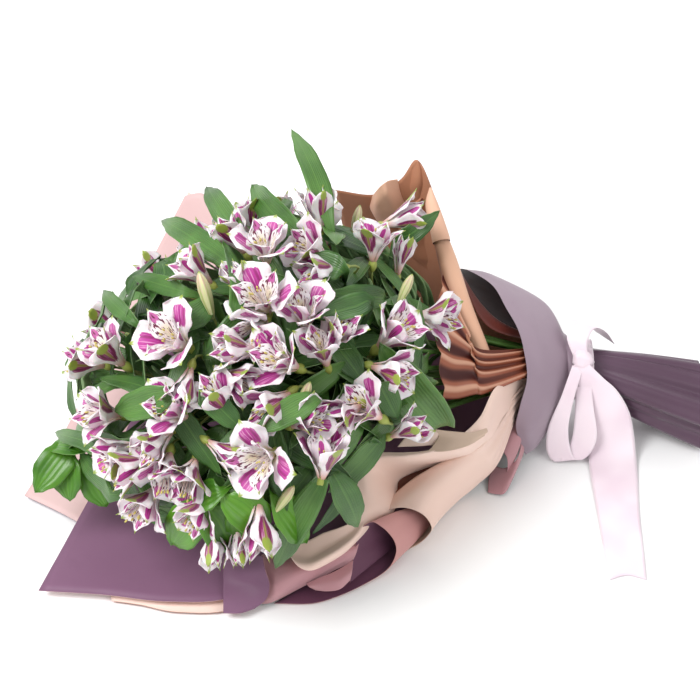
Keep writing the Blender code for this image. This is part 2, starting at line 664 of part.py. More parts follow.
# Rings of the ribbon's band and of the inner binding, and the knot's middle line and radii
BAND_RINGS = ((279.5, 30.6), (287, 29.4), (297, 30))
BINDING_RINGS = ((300, 16.2), (303, 17), (306, 16.2))
BINDING_THICKNESS = 1.4
KNOT_LINE = ((277, 79, 86), (282, 78.3, 86), (288, 77.3, 84.8), (294, 78, 81))
KNOT_RADII = (4, 8, 8, 4)

# The film past the tie, as rings: how far along, the radius, the depth of the pleats and how flat it lies
TAIL_RINGS = (
    (284, 21, 0.3, 1),
    (298, 21.8, 0.8, 1),
    (314, 25, 2, 0.96),
    (355, 34, 4.3, 0.85),
    (402, 42, 7, 0.76),
)

# Large leaves that show: the stem, where the blade starts and where its tip is as seen, how far each
# stands out of the dome, the blade's half width and its turn about its own line
BIG_LEAVES = (
    ("stem_07", -18, 112, -54, 190, 0, 10, 11, 20),
    ("stem_07", -40, 98, -88, 144, 0, 6, 13, -20),
    ("stem_05", -100, 70, -168, 112, 0, 6, 11, 10),
    ("stem_06", -98, 20, -113, 88, 14, 12, 8, 40),
    ("stem_05", -140, 50, -194, 64, 0, 4, 8, 0),
    ("stem_01", -190, 20, -219, 50, 0, 6, 7, 0),
    ("stem_01", -215, -90, -261, -74, 0, 6, 7, 10),
    ("stem_02", -150, -40, -208, -56, 10, 6, 13, 0),
    ("stem_12", -32, -44, -88, -74, 12, 14, 11, 10),
    ("stem_07", -10, 60, -38, 76, 12, 12, 12, 0),
    ("stem_09", 12, 34, -34, 22, 12, 12, 11, 20),
    ("stem_10", 78, -66, 22, 4, 6, 8, 20, -20),
    ("stem_08", 40, 96, 80, 125, 0, 2, 9, 20),
    ("stem_13", -26, -110, -68, -192, 8, 6, 12, 10),
    ("stem_13", -20, -108, 4, -156, 8, 6, 12, -20),
    ("stem_11", 20, -30, 40, -62, 8, 4, 11, 0),
    ("stem_04", -128, -40, -96, -72, 10, 8, 10, 0),
    ("stem_16", -96, 96, -128, 142, 0, 6, 10, 0),
)

# Sprigs of broad-leaved greenery: each leaf's start and tip as seen, its lift and its half width
SPRIGS = {
    "greenery_left": (
        (-252, -84, -286, -118, 2, 15),
        (-256, -92, -254, -126, 2, 14),
        (-244, -100, -222, -132, 0, 14),
        (-250, -84, -232, -66, 2, 12),
        (-238, -92, -268, -76, 4, 10),
    ),
    "greenery_front": (
        (-128, -132, -158, -160, 8, 17),
        (-128, -132, -104, -166, 8, 17),
        (-112, -126, -74, -146, 8, 16),
        (-112, -124, -140, -124, 10, 13),
        (-96, -132, -92, -172, 4, 15),
        (-70, -130, -42, -160, 6, 15),
    ),
}

# What a bloom tries where it would touch its neighbour: smaller sizes, and bends of its pedicel
BLOOM_SHARES = (1, 0.86, 0.74, 0.62)
PEDICEL_BENDS = (
    Vector(),
    UPWARD * 8,
    -UPWARD * 8,
    RIGHT * 8,
    -RIGHT * 8,
    UPWARD * 16,
    RIGHT * 16,
    -RIGHT * 16,
)

# The leaves that each stem bears by rule
RULE_LEAVES = 4
LOWEST_LEAF = 9
LEAF_LENGTH = (66, 92)
LEAF_HALF_WIDTH = (7.5, 10.5)


def rolled(middle, radii, start, sweep, rows=7, around=8):
    """A curled strip: part of a tapering tube about a middle line. The start and the sweep are in degrees."""
    line = smooth_line([Vector(point) for point in middle], rows)
    sizes = smooth_line([Vector((radius, 0, 0)) for radius in radii], rows)
    grid = []
    for k, place in enumerate(line):
        way = (line[min(k + 1, rows - 1)] - line[max(k - 1, 0)]).normalized()
        level = way.cross(Vector((0, 0, 1))).normalized()
        over = level.cross(way)
        row = []
        for step in range(around):
            turn = math.radians(start + sweep * step / (around - 1))
            row.append(place + sizes[k].x * (math.cos(turn) * level + math.sin(turn) * over))
        grid.append(row)
    return grid


def seen_net(rows):
    """World places for rows of (across, up, height)."""
    net = []
    for row in rows:
        places = []
        for across, up, height in row:
            line = view_line(across, up)
            places.append(VIEWPOINT + line * ((height - VIEWPOINT.z) / line.z))
        net.append(places)
    return net


def film(net, rows, columns):
    """A film as one closed solid through a net of places."""
    return sheet(smooth_grid(net, rows, columns), FILM_THICKNESS)


def film_shapes():
    """The wrapping films and the ribbon, as lists of closed shapes for each node."""
    films = {}
    for layer, (name, rows) in enumerate(
        (("wrap_cream_base", CREAM_BASE), ("wrap_pink_base", PINK_BASE), ("wrap_plum_base", PLUM_BASE))
    ):
        films[name] = [sheet(ground_film(rows, layer, BASE_NECK - NECK_LAYER * layer), FILM_THICKNESS)]
    wall = [*COPPER_WALL, *neck_rows(COPPER_NECK_RADIUS, COPPER_NECK)[1:]]
    films["wrap_copper_far"] = [
        film(wall, 10, 6),
        sheet(rolled(*COPPER_ROLL, -20, 260, 6, 7), FILM_THICKNESS),
        sheet(rolled(*COPPER_CURL, 10, 270, 4, 7), FILM_THICKNESS),
    ]
    inner = [*seen_net(COPPER_INNER), *neck_rows(INNER_NECK_RADIUS, INNER_NECK)]
    films["wrap_copper_inner"] = [film(inner, 7, 6)]
    ruffle = [*seen_net(CREAM_RUFFLE), *neck_rows(CREAM_NECK_RADIUS, CREAM_NECK)]
    fold = [*seen_net(CREAM_FOLD), *neck_rows(FOLD_NECK_RADIUS, FOLD_NECK)[:2]]
    fold.append(neck_row(NECK_PLACES[2], CREAM_NECK_RADIUS, FOLD_NECK))
    films["wrap_cream_near"] = [film(ruffle, 15, 4), film(fold, 8, 8), film(seen_net(CREAM_CURL), 3, 7)]
    films["wrap_plum_scroll"] = [film(seen_net(PLUM_SCROLL), 3, 14)]
    films["wrap_plum_roll"] = [film(seen_net(PINK_ROLL), 5, 6)]
    films["wrap_plum_flap"] = [film(seen_net(PLUM_FLAP), 3, 6)]
    films["wrap_plum_hem"] = [film(seen_net(PLUM_HEM), 3, 8)]
    collar = world_net(COLLAR)
    collar += [neck_row(x, radius, COLLAR_ANGLES) for x, radius in COLLAR_NECK_RINGS]
    rings = [smooth_line(list(column), 9) for column in zip(*collar)]
    films["wrap_collar"] = [sheet([list(ring) for ring in zip(*rings)], FILM_THICKNESS, ring=True)]
    films["wrap_tail"] = [sheet(tail_grid(), FILM_THICKNESS, ring=True)]
    band = [[neck_point(x, 24 * k, radius) for k in range(15)] for x, radius in BAND_RINGS]
    films["ribbon"] = [
        sheet(band, RIBBON_THICKNESS, ring=True),
        film(world_net(RIBBON_TAIL), 10, 3),
        film(world_net(RIBBON_LOOP), 8, 2),
        film(world_net(RIBBON_UPPER), 5, 2),
        tube([Vector(place) for place in KNOT_LINE], KNOT_RADII, 7),
    ]
    binding = [[neck_point(x, 30 * k, radius) for k in range(12)] for x, radius in BINDING_RINGS]
    films["stem_binding"] = [sheet(binding, BINDING_THICKNESS, ring=True)]
    return films


def world_net(rows):
    """World places for rows of (x, y, z)."""
    return [[Vector(place) for place in row] for row in rows]


def tail_grid():
    """The film skirt past the tie, pleated and flattened towards its open end."""
    grid = []
    for x, radius, wave, flat in TAIL_RINGS:
        ring = []
        for k in range(20):
            turn = math.tau * k / 20
            reach = radius + wave * math.cos(5 * turn + 0.8)
            place = neck_point(x, 0, 0)
            low = place.z - 2
            high = place.z + reach * math.cos(turn) * flat
            ring.append(Vector((x, place.y - reach * math.sin(turn), max(high, place.z - low))))
        grid.append(ring)
    return grid


def slots():
    """Places in the bundle at the tie: one in the middle, six round it and twelve round those."""
    places = [(0.0, 0.0)]
    for ring, count in ((1, 6), (2, 12)):
        for k in range(count):
            turn = math.tau * (k + 0.5 * (ring == 2)) / count
            places.append((ring * STEM_SPACING * math.cos(turn), ring * STEM_SPACING * math.sin(turn)))
    return places


def matched_slots(slopes):
    """A slot for each stem such that straight stems never cross: pairs are swapped while that helps."""
    free = slots()
    order = list(range(len(free)))
    wanted = slopes + [None] * (len(free) - len(slopes))
    swapped = True
    while swapped:
        swapped = False
        for i in range(len(free)):
            for j in range(i + 1, len(free)):
                change = 0.0
                for a, b in ((i, j), (j, i)):
                    if wanted[a]:
                        for k in range(2):
                            change += wanted[a][k] * (free[order[a]][k] - free[order[b]][k])
                if change < -1e-9:
                    order[i], order[j] = order[j], order[i]
                    swapped = True
    return [free[order[k]] for k in range(len(slopes))]


def stem_owner_points():
    """Every bloom and bud with its place and axis, by stem."""
    carried = {}
    for opened, rows in ((True, BLOOMS), (False, BUDS)):
        for stem, across, up, lift, heading, toward, openness, size in rows:
            place, outward = on_head(across, up, lift)
            turn = math.radians(heading)
            face = math.radians(toward)
            heading = math.cos(turn) * RIGHT + math.sin(turn) * UPWARD
            axis = math.cos(face) * heading - math.sin(face) * FORWARD + OUTWARD_LEAN * outward
            carried.setdefault(stem, []).append((opened, place, axis.normalized(), openness, size))
    for stem, bearing, rise, depth, openness in FAR_BLOOMS:
        turn = math.radians(bearing)
        high = math.radians(rise)
        unit = Vector((math.cos(high) * math.cos(turn), math.cos(high) * math.sin(turn), math.sin(high)))
        place = HEAD_CENTRE + Vector(unit[k] * HEAD_RADII[k] for k in range(3)) * depth
        axis = (unit + FAR_LEAN).normalized()
        carried.setdefault(stem, []).append((True, place, axis, openness, 1.0))
    return carried


def umbel_of(flowers):
    """Where a stem's pedicels spring from: behind its flowers, towards the core of the head."""
    feet = [place - axis * PEDICEL_REACH for _, place, axis, _, _ in flowers]
    middle = sum(feet, Vector()) / len(flowers)
    umbel = middle + (HEAD_CORE - middle).normalized() * UMBEL_DEPTH
    umbel.z = max(umbel.z, LOWEST_UMBEL)
    return umbel


def gather(distance):
    """How far a stem of slope 1 stands from its slot at a distance from the tie."""
    return distance * (distance / GATHER_LENGTH) ** GATHER_POWER


def stem_line(umbel, slot):
    """A stem from its umbel down to its slot in the tie, and on to its cut end."""
    shift = Vector((0, slot[0], slot[1]))
    tie = NECK + shift
    reach = tie.x - umbel.x
    slope = (umbel - tie) / gather(reach)
    line = []
    for share in (1, 0.7, 0.4, 0.15):
        rise = slope * gather(reach * share)
        line.append(Vector((tie.x - reach * share, tie.y + rise.y, tie.z + rise.z)))
    return [*line, tie, TAIL_END + shift]


def nudges():
    """Small moves to try for a bloom that would touch its neighbour, the smallest first."""
    moves = [Vector((0, 0, 0))]
    for reach in (4, 8, 12, 17, 23, 30):
        for k in range(10):
            turn = math.tau * k / 10
            moves.append(reach * (math.cos(turn) * RIGHT + math.sin(turn) * UPWARD) - FORWARD * reach * 0.4)
        moves.append(-FORWARD * reach * 1.2)
    return moves


def pedicel_shape(foot, axis, umbel, bend, swell=0.0):
    """A slender stalk from the umbel to a flower, leaving the flower along its axis."""
    start = foot + axis * 2
    reach = (start - umbel).length
    elbow = start - axis * reach * 0.4 + bend
    line = [umbel.lerp(elbow, t).lerp(elbow.lerp(start, t), t) for t in (0, 0.5, 1)]
    line[0] = umbel - (line[1] - umbel).normalized() * 3
    return tube(line, [PEDICEL_RADIUS + swell] * 3, 3)


def leaf_shape(root, base, tip, half_width, facing, roll, droop, short=False, swell=0.0):
    """A lance-shaped leaf on a narrow stalk: from its root to where the blade starts and on to its tip."""
    way = (tip - base).normalized()
    face = Matrix.Rotation(math.radians(roll), 3, way) @ (facing - way * facing.dot(way)).normalized()
    rise = face * droop
    if short:
        line = [root, base, base.lerp(tip, 0.5) + rise, tip]
        return blade(line, [half_width * 0.3, half_width], [face] * 4, BLADE_CUP, swell)
    line = [root, base, base.lerp(tip, 0.34) + rise, base.lerp(tip, 0.7) + rise * 0.8, tip]
    return blade(line, [1.2, half_width, half_width * 0.78], [face] * 5, BLADE_CUP, swell)


def flower_shape(flower, roll, swell=0.0):
    """An open bloom or a bud, and its foot."""
    opened, heart, axis, openness, size = flower
    if opened:
        return bloom(heart, axis, openness, size, roll, swell)
    return bud(heart, axis, size, swell)


def flower_at(placed, stem, flower, umbel, roll):
    """A flower and its pedicel if both touch nothing there, or nothing."""
    _, heart, axis, _, _ = flower
    if heart.z < LOWEST_BLOOM - 8:
        return None
    wide, foot = flower_shape(flower, roll, CLEARANCE)
    if not placed.clear(stem, wide):
        return None
    for bend in PEDICEL_BENDS:
        if placed.clear(stem, pedicel_shape(foot, axis, umbel, bend, CLEARANCE)):
            return flower_shape(flower, roll)[0], pedicel_shape(foot, axis, umbel, bend)
    return None


def place_flowers(placed, stem, flowers, umbel):
    """The stem's flowers with their pedicels, each in the first place where it touches no other stem."""
    shapes = []
    missed = 0
    for number, (opened, place, axis, openness, size) in enumerate(flowers):
        roll = 0.9 * number + 0.3
        chosen = None
        for share in BLOOM_SHARES:
            for move in nudges():
                flower = (opened, place + move, axis, openness, size * share)
                chosen = chosen or flower_at(placed, stem, flower, umbel, roll)
        if not chosen:
            missed += 1
            continue
        head, stalk = chosen
        shapes += [("petal" if opened else "green", head), ("green", stalk)]
        placed.add(stem, head)
        placed.add(stem, stalk, stalk=True)
    return shapes, missed


def leaf_moves():
    """Small moves to try for a leaf's tip, the smallest first."""
    moves = [Vector((0, 0, 0))]
    for reach in (7, 14, 22, 30):
        for k in range(8):
            turn = math.tau * k / 8
            moves.append(reach * (math.cos(turn) * RIGHT + math.sin(turn) * UPWARD))
        moves.append(-FORWARD * reach)
        moves.append(FORWARD * reach)
    return moves


def place_leaf(placed, stem, root, base, tip, half_width, roll):
    """A leaf in the first of a few like poses in which it touches no other stem, or nothing."""
    length = (tip - base).length
    for move in leaf_moves():
        far = tip + move
        far.z = max(far.z, LOWEST_LEAF)
        near = base + move * 0.6
        near.z = max(near.z, LOWEST_LEAF)
        for turn in (0, 30, -30, 60, -60):
            for droop in (0.1, -0.06):
                pose = (root, near, far, half_width, -FORWARD, roll + turn, length * droop)
                if placed.clear(stem, leaf_shape(*pose, swell=CLEARANCE)):
                    return leaf_shape(*pose)
    return None


def rule_leaves(placed, stem, line, rng):
    """Leaves up a stem's last stretch by rule, each a golden turn on from the last."""
    shapes = []
    way = (line[0] - line[1]).normalized()
    side = way.orthogonal().normalized()
    for number in range(RULE_LEAVES):
        root = line[0] - way * (3 + 9 * number)
        for attempt in range(14):
            turn = 2.4 * number + rng.uniform(-0.4, 0.4) + 0.45 * attempt
            spoke = Matrix.Rotation(turn, 3, way) @ side
            spread = rng.uniform(0.5, 1.3)
            reach = rng.uniform(*LEAF_LENGTH)
            heading = (way + spoke * spread).normalized()
            base = root + heading * 16
            tip = root + heading * reach + Vector((0, 0, -6))
            scaled = Vector((tip[k] - HEAD_CENTRE[k]) / (HEAD_RADII[k] + 12) for k in range(3))
            if scaled.length > 1 or min(tip.z, base.z) < LOWEST_LEAF + 1:
                continue
            outward = (base + tip) / 2 - HEAD_CENTRE
            half_width = rng.uniform(*LEAF_HALF_WIDTH)
            pose = (root, base, tip, half_width, outward, rng.uniform(-50, 50), reach * 0.1, True)
            if placed.clear(stem, leaf_shape(*pose, swell=CLEARANCE)):
                shape = leaf_shape(*pose)
                placed.add(stem, shape)
                shapes.append(("green", shape))
                break
    return shapes


def flower_stems(placed):
    """Every flowering stem as a list of closed shapes, for one fused node each."""
    carried = stem_owner_points()
    stems = sorted(carried)
    umbels = {stem: umbel_of(carried[stem]) for stem in stems}
    feet = {}
    for name, leaves in SPRIGS.items():
        umbels[name] = sprig_fork(leaves)
    everyone = [*stems, *SPRIGS]
    slopes = []
    for stem in everyone:
        rise = (umbels[stem] - NECK) / gather(NECK.x - umbels[stem].x)
        slopes.append((rise.y, rise.z))
    lines = {}
    for stem, slot in zip(everyone, matched_slots(slopes)):
        lines[stem] = stem_line(umbels[stem], slot)
        way = (lines[stem][0] - lines[stem][1]).normalized()
        feet[stem] = tube([lines[stem][0] + way * 3, *lines[stem][1:]], [STEM_RADIUS] * 6, 5)
        placed.add(stem, feet[stem], stalk=True)
    shapes = {stem: [("green", feet[stem])] for stem in everyone}
    for stem in reversed(stems):
        found, missed = place_flowers(placed, stem, carried[stem], umbels[stem])
        shapes[stem] += found
        if missed:
            print(stem, "could not place", missed, "flowers")
    for name, leaves in SPRIGS.items():
        for across, up, tip_across, tip_up, lift, half_width in leaves:
            base = on_head(across, up, lift - 4)[0]
            tip = on_head(tip_across, tip_up, lift)[0]
            tip.z = max(8, tip.z - 14)
            root = lines[name][0].lerp(lines[name][1], 0.05)
            shape = place_leaf(placed, name, root, base, tip, half_width, 0)
            if shape:
                shapes[name].append(("green", shape))
                placed.add(name, shape)
            else:
                print(name, "could not place a leaf")
    for stem, across, up, tip_across, tip_up, lift, tip_lift, half_width, roll in BIG_LEAVES:
        base = on_head(across, up, lift)[0]
        tip = on_head(tip_across, tip_up, tip_lift)[0]
        root = lines[stem][0].lerp(lines[stem][1], 0.05)
        shape = place_leaf(placed, stem, root, base, tip, half_width, roll)
        if shape:
            shapes[stem].append(("green", shape))
            placed.add(stem, shape)
        else:
            print(stem, "could not place a big leaf", across, up)
    rng = random.Random(20)
    for stem in stems:
        shapes[stem] += rule_leaves(placed, stem, lines[stem], rng)
    return shapes


def sprig_fork(leaves):
    """Where a sprig's leaves spring from."""
    middle = sum((on_head(across, up, -10)[0] for across, up, *_ in leaves), Vector()) / len(leaves)
    fork = middle + (HEAD_CORE - middle).normalized() * 16
    fork.z = max(fork.z, 14)
    return fork


def mesh_object(name, shape, finish):
    """A Blender object from points in millimetres and faces."""
    points, faces = shape
    mesh = bpy.data.meshes.new(name)
    mesh.from_pydata([point * MM for point in points], [], faces)
    mesh.update()
    mesh.materials.append(finish)
    made = bpy.data.objects.new(name, mesh)
    bpy.context.scene.collection.objects.link(made)
    return made


def fused(name, pieces):
    """One object from several closed shapes with their finishes, joined by an applied Boolean union."""
    body = mesh_object(name, *pieces[0])
    if len(pieces) == 1:
        return body
    group = bpy.data.collections.new(name + "_pieces")
    bpy.context.scene.collection.children.link(group)
    for number, (shape, finish) in enumerate(pieces[1:]):
        piece = mesh_object(f"{name}_piece_{number}", shape, finish)
        bpy.context.scene.collection.objects.unlink(piece)
        group.objects.link(piece)
    union = body.modifiers.new("union", "BOOLEAN")
    union.operation = "UNION"
    union.operand_type = "COLLECTION"
    union.collection = group
    union.solver = "MANIFOLD"
    union.material_mode = "TRANSFER"
    bpy.context.view_layer.update()
    joined = bpy.data.meshes.new_from_object(body.evaluated_get(bpy.context.evaluated_depsgraph_get()))
    body.modifiers.clear()
    body.data = joined
    for piece in list(group.objects):
        bpy.data.objects.remove(piece)
    bpy.data.collections.remove(group)
    return body


def material(name, colour, roughness):
    """A plain finish in the part's colour."""
    made = bpy.data.materials.new(name)
    made.use_nodes = True
    shader = made.node_tree.nodes["Principled BSDF"]
    shader.inputs["Base Color"].default_value = (*colour, 1)
    shader.inputs["Roughness"].default_value = roughness
    return made


FINISHES = {
    "wrap_cream_base": ((0.86, 0.66, 0.58), 0.55),
    "wrap_pink_base": ((0.72, 0.48, 0.47), 0.55),
    "wrap_plum_base": ((0.26, 0.13, 0.2), 0.5),
    "wrap_copper_far": ((0.62, 0.26, 0.14), 0.45),
    "wrap_cream_near": ((0.82, 0.58, 0.48), 0.5),
    "wrap_copper_inner": ((0.6, 0.24, 0.13), 0.45),
    "wrap_plum_scroll": ((0.3, 0.14, 0.22), 0.5),
    "wrap_plum_roll": ((0.5, 0.27, 0.3), 0.5),
    "wrap_plum_flap": ((0.3, 0.14, 0.22), 0.5),
    "wrap_plum_hem": ((0.3, 0.14, 0.2), 0.5),
    "wrap_collar": ((0.4, 0.32, 0.38), 0.5),
    "wrap_tail": ((0.2, 0.12, 0.2), 0.45),
    "ribbon": ((0.86, 0.7, 0.78), 0.35),
    "stem_binding": ((0.5, 0.36, 0.16), 0.7),
    "petal": ((0.9, 0.74, 0.84), 0.5),
    "green": ((0.08, 0.28, 0.06), 0.45),
}


def main():
    for old in list(bpy.data.objects):
        bpy.data.objects.remove(old)
    finishes = {name: material(name, *look) for name, look in FINISHES.items()}
    placed = Placed()
    films = film_shapes()
    for name, shapes in films.items():
        for shape in shapes:
            placed.add(name, shape)
    nodes = {name: [(shape, finishes[name]) for shape in shapes] for name, shapes in films.items()}
    for name, shapes in flower_stems(placed).items():
        nodes[name] = [(shape, finishes[kind]) for kind, shape in shapes]
    for name, pieces in nodes.items():
        fused(name, pieces)


main()
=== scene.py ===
# %% [markdown]
# # A wrapped bouquet of alstroemeria
#
# This lesson dresses a packed bouquet: sixteen stems of striped alstroemeria and two sprigs of greenery,
# rolled in sheets of two-tone wrapping film, tied with a satin ribbon and laid on a table. The packed
# solids stay as they are. Each cell builds real-looking pieces that stand for some of them, from the same
# layout.

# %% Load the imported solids
import math
import random

import bmesh
import bpy
from mathutils import Matrix, Vector, noise


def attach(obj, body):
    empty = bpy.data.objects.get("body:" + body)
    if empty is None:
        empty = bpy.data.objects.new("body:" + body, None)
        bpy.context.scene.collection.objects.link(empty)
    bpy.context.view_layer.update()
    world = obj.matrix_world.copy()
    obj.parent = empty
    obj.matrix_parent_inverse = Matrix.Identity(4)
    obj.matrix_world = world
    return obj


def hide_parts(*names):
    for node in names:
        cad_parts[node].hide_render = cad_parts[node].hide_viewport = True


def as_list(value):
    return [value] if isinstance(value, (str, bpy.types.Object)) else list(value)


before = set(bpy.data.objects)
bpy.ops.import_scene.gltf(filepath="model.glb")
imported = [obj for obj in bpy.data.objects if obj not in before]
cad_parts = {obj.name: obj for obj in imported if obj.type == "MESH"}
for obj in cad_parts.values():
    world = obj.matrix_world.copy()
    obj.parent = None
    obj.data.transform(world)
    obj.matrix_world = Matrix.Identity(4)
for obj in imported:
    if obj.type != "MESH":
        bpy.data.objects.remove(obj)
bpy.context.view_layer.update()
MM = 0.001

# %% [markdown]
# ## The camera and the layout
#
# The bouquet was laid out along sight lines from one viewpoint, 42 degrees above the table, so the camera
# stands at that viewpoint. A place is given by how far across and up it is seen, in millimetres, and the
# dome of the flower head or a height above the table gives its depth. Everything is worked out in
# millimetres and scaled at the end.

# %% Viewpoint, head and tie
VIEW_RISE = math.radians(42)
VIEW_TARGET = Vector((75, 86, 90))
VIEW_DISTANCE = 1500
FORWARD = Vector((0, math.cos(VIEW_RISE), -math.sin(VIEW_RISE)))
UPWARD = Vector((0, math.sin(VIEW_RISE), math.cos(VIEW_RISE)))
RIGHT = Vector((1, 0, 0))
UP = Vector((0, 0, 1))
VIEWPOINT = VIEW_TARGET - VIEW_DISTANCE * FORWARD
HEAD_CENTRE = Vector((0, 25, 100))
HEAD_RADII = Vector((165, 172, 150))
HEAD_CORE = Vector((110, 62, 78))
LOWEST_BLOOM = 26
NECK = Vector((282, 100, 57))
TAIL_END = Vector((384, 80, 37))

camera_lens = bpy.data.cameras.new("camera")
camera_lens.lens = 85
camera_lens.sensor_width = 36
camera_lens.clip_start = 0.05
camera = bpy.data.objects.new("camera", camera_lens)
camera.location = VIEWPOINT * MM
camera.rotation_euler = FORWARD.to_track_quat("-Z", "Y").to_euler()
bpy.context.scene.collection.objects.link(camera)
bpy.context.scene.camera = camera
bpy.context.scene.view_settings.view_transform = "Standard"
print("camera", [round(v, 3) for v in camera.location], "rise", round(math.degrees(VIEW_RISE)))


# %% Places by sight line
def view_line(across, up):
    """Direction from the viewpoint through a place seen so far across and up from the middle of the view."""
    return (VIEW_TARGET + across * RIGHT + up * UPWARD - VIEWPOINT).normalized()


def seen(across, up, height):
    """The place at a height above the table that is seen there."""
    line = view_line(across, up)
    return VIEWPOINT + line * ((height - VIEWPOINT.z) / line.z)


def on_head(across, up, lift):
    """The place on the flower dome that is seen there, or beside it where it is missed, and outward."""
    line = view_line(across, up)
    start = Vector((VIEWPOINT[k] - HEAD_CENTRE[k]) / HEAD_RADII[k] for k in range(3))
    way = Vector(line[k] / HEAD_RADII[k] for k in range(3))
    closest = -start.dot(way) / way.dot(way)
    inside = 1 - (start + way * closest).length_squared
    if inside > 0:
        closest -= math.sqrt(inside / way.dot(way))
    unit = start + way * closest
    outward = Vector(unit[k] / HEAD_RADII[k] for k in range(3)).normalized()
    place = HEAD_CENTRE + Vector(unit[k] * HEAD_RADII[k] for k in range(3)) + outward * lift
    if place.z < LOWEST_BLOOM:
        place += line * ((LOWEST_BLOOM - place.z) / line.z)
    return place, outward


print("the middle of the view meets the dome at", [round(v) for v in on_head(0, 0, 0)[0]])

# %% [markdown]
# ## Smooth lines, patches and pieces
#
# Every petal, leaf, film and stalk here is a grid of quads that is bent into place. Blender's own
# create_grid makes the grid with its UV map, and a rule then says where each of its points goes. A stalk is
# such a grid rolled into a tube. Catmull-Rom lines carry the shapes smoothly through a few chosen places.


# %% Smooth lines
def between(a, b, c, d, t):
    """A place between b and c, at share t, on the smooth line through four points."""
    straight = 2 * b + (c - a) * t
    return 0.5 * (straight + (2 * a - 5 * b + 4 * c - d) * t**2 + (3 * b - a - 3 * c + d) * t**3)


def smooth_line(points, count):
    """Evenly numbered points on a smooth line through the given ones."""
    ends = [2 * points[0] - points[1], *points, 2 * points[-1] - points[-2]]
    line = []
    for step in range(count):
        place = step / (count - 1) * (len(points) - 1)
        k = min(int(place), len(points) - 2)
        line.append(between(*ends[k : k + 4], place - k))
    return line


def closed_line(points, count):
    """Points on a smooth closed line through the given ones; the last is the first again."""
    wrapped = [points[-1], *points, *points[:3]]
    line = []
    for step in range(count):
        place = step / (count - 1) * len(points)
        k = int(place)
        line.append(between(*wrapped[k : k + 4], place - k))
    return line


def smooth_grid(net, rows, columns):
    """A smooth surface through a coarse net of points, as rows of points."""
    wide = [smooth_line([Vector(point) for point in row], columns) for row in net]
    tall = [smooth_line(list(column), rows) for column in zip(*wide)]
    return [list(row) for row in zip(*tall)]


def eased(value, low, high):
    """0 below low, 1 above high and a smooth step between."""
    t = min(1.0, max(0.0, (value - low) / (high - low)))
    return t * t * (3 - 2 * t)


def outline(knots, t):
    """A value read smoothly from a list of (place, value) pairs."""
    for (a, low), (b, high) in zip(knots, knots[1:]):
        if t <= b:
            return low + (high - low) * eased(t, a, b)
    return knots[-1][1]


# %% Patches, tubes and pieces
SEAM_GAP = 0.0005


def patch(bm, columns, rows, place, finish=0):
    """Add a grid of quads, with each point where place(across, along) says; both run from 0 to 1."""
    uv = bm.loops.layers.uv.verify()
    made = bmesh.ops.create_grid(bm, x_segments=columns, y_segments=rows, size=0.5)["verts"]
    flat = {vert: (vert.co.x + 0.5, vert.co.y + 0.5) for vert in made}
    faces = {face for vert in made for face in vert.link_faces}
    for face in faces:
        face.material_index = finish
        for loop in face.loops:
            loop[uv].uv = flat[loop.vert]
    for vert, (across, along) in flat.items():
        vert.co = place(across, along)
    return made


def tube(bm, line, radii, sides, finish=0, ribs=(0, 0.0)):
    """Roll a grid into a closed bar along a line. Radii are read along it, and ribs are (count, depth)."""
    last = len(line) - 1
    frames = []
    across = (line[1] - line[0]).orthogonal().normalized()
    for k in range(len(line)):
        way = (line[min(k + 1, last)] - line[max(k - 1, 0)]).normalized()
        across = (across - way * across.dot(way)).normalized()
        frames.append((across, way.cross(across)))
    count = len(radii) - 1

    def place(around, along):
        k = round(along * last)
        spot = k / last * count
        low = min(int(spot), count - 1)
        radius = radii[low] + (radii[low + 1] - radii[low]) * (spot - low)
        turn = math.tau * around
        radius *= 1 + ribs[1] * math.cos(ribs[0] * turn)
        return line[k] + radius * (math.cos(turn) * frames[k][0] + math.sin(turn) * frames[k][1])

    made = patch(bm, sides, last, place, finish)
    bmesh.ops.remove_doubles(bm, verts=made, dist=SEAM_GAP)
    made = [vert for vert in made if vert.is_valid]
    rims = {edge for vert in made for edge in vert.link_edges if edge.is_boundary}
    for cap in bmesh.ops.holes_fill(bm, edges=list(rims))["faces"]:
        cap.material_index = finish


def make_piece(name, bm, finishes, nodes, slot, thickness=0.0):
    """Turn a bmesh in millimetres into a smooth piece in metres that rides with the bouquet."""
    bmesh.ops.scale(bm, vec=(MM, MM, MM), verts=bm.verts)
    mesh = bpy.data.meshes.new(name)
    bm.to_mesh(mesh)
    bm.free()
    for finish in finishes:
        mesh.materials.append(finish)
    mesh.shade_smooth()
    piece = bpy.data.objects.new(name, mesh)
    bpy.context.scene.collection.objects.link(piece)
    if thickness:
        solid = piece.modifiers.new("thickness", "SOLIDIFY")
        solid.thickness = thickness * MM
        solid.offset = 0
        solid.material_offset = 1
        solid.material_offset_rim = 1
    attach(piece, "root")
    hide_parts(*nodes)
    print(name, len(mesh.polygons), "faces")
    return piece


# %% [markdown]
# ## Finishes
#
# Each finish is a small tree of nodes. Petals, leaves and films follow their own UV map, where V runs along
# the piece and U across it, so their streaks and veins run the right way. Slow changes of colour come from
# noise on Object coordinates. The class below only gives short names to the nodes that are used again and
# again.


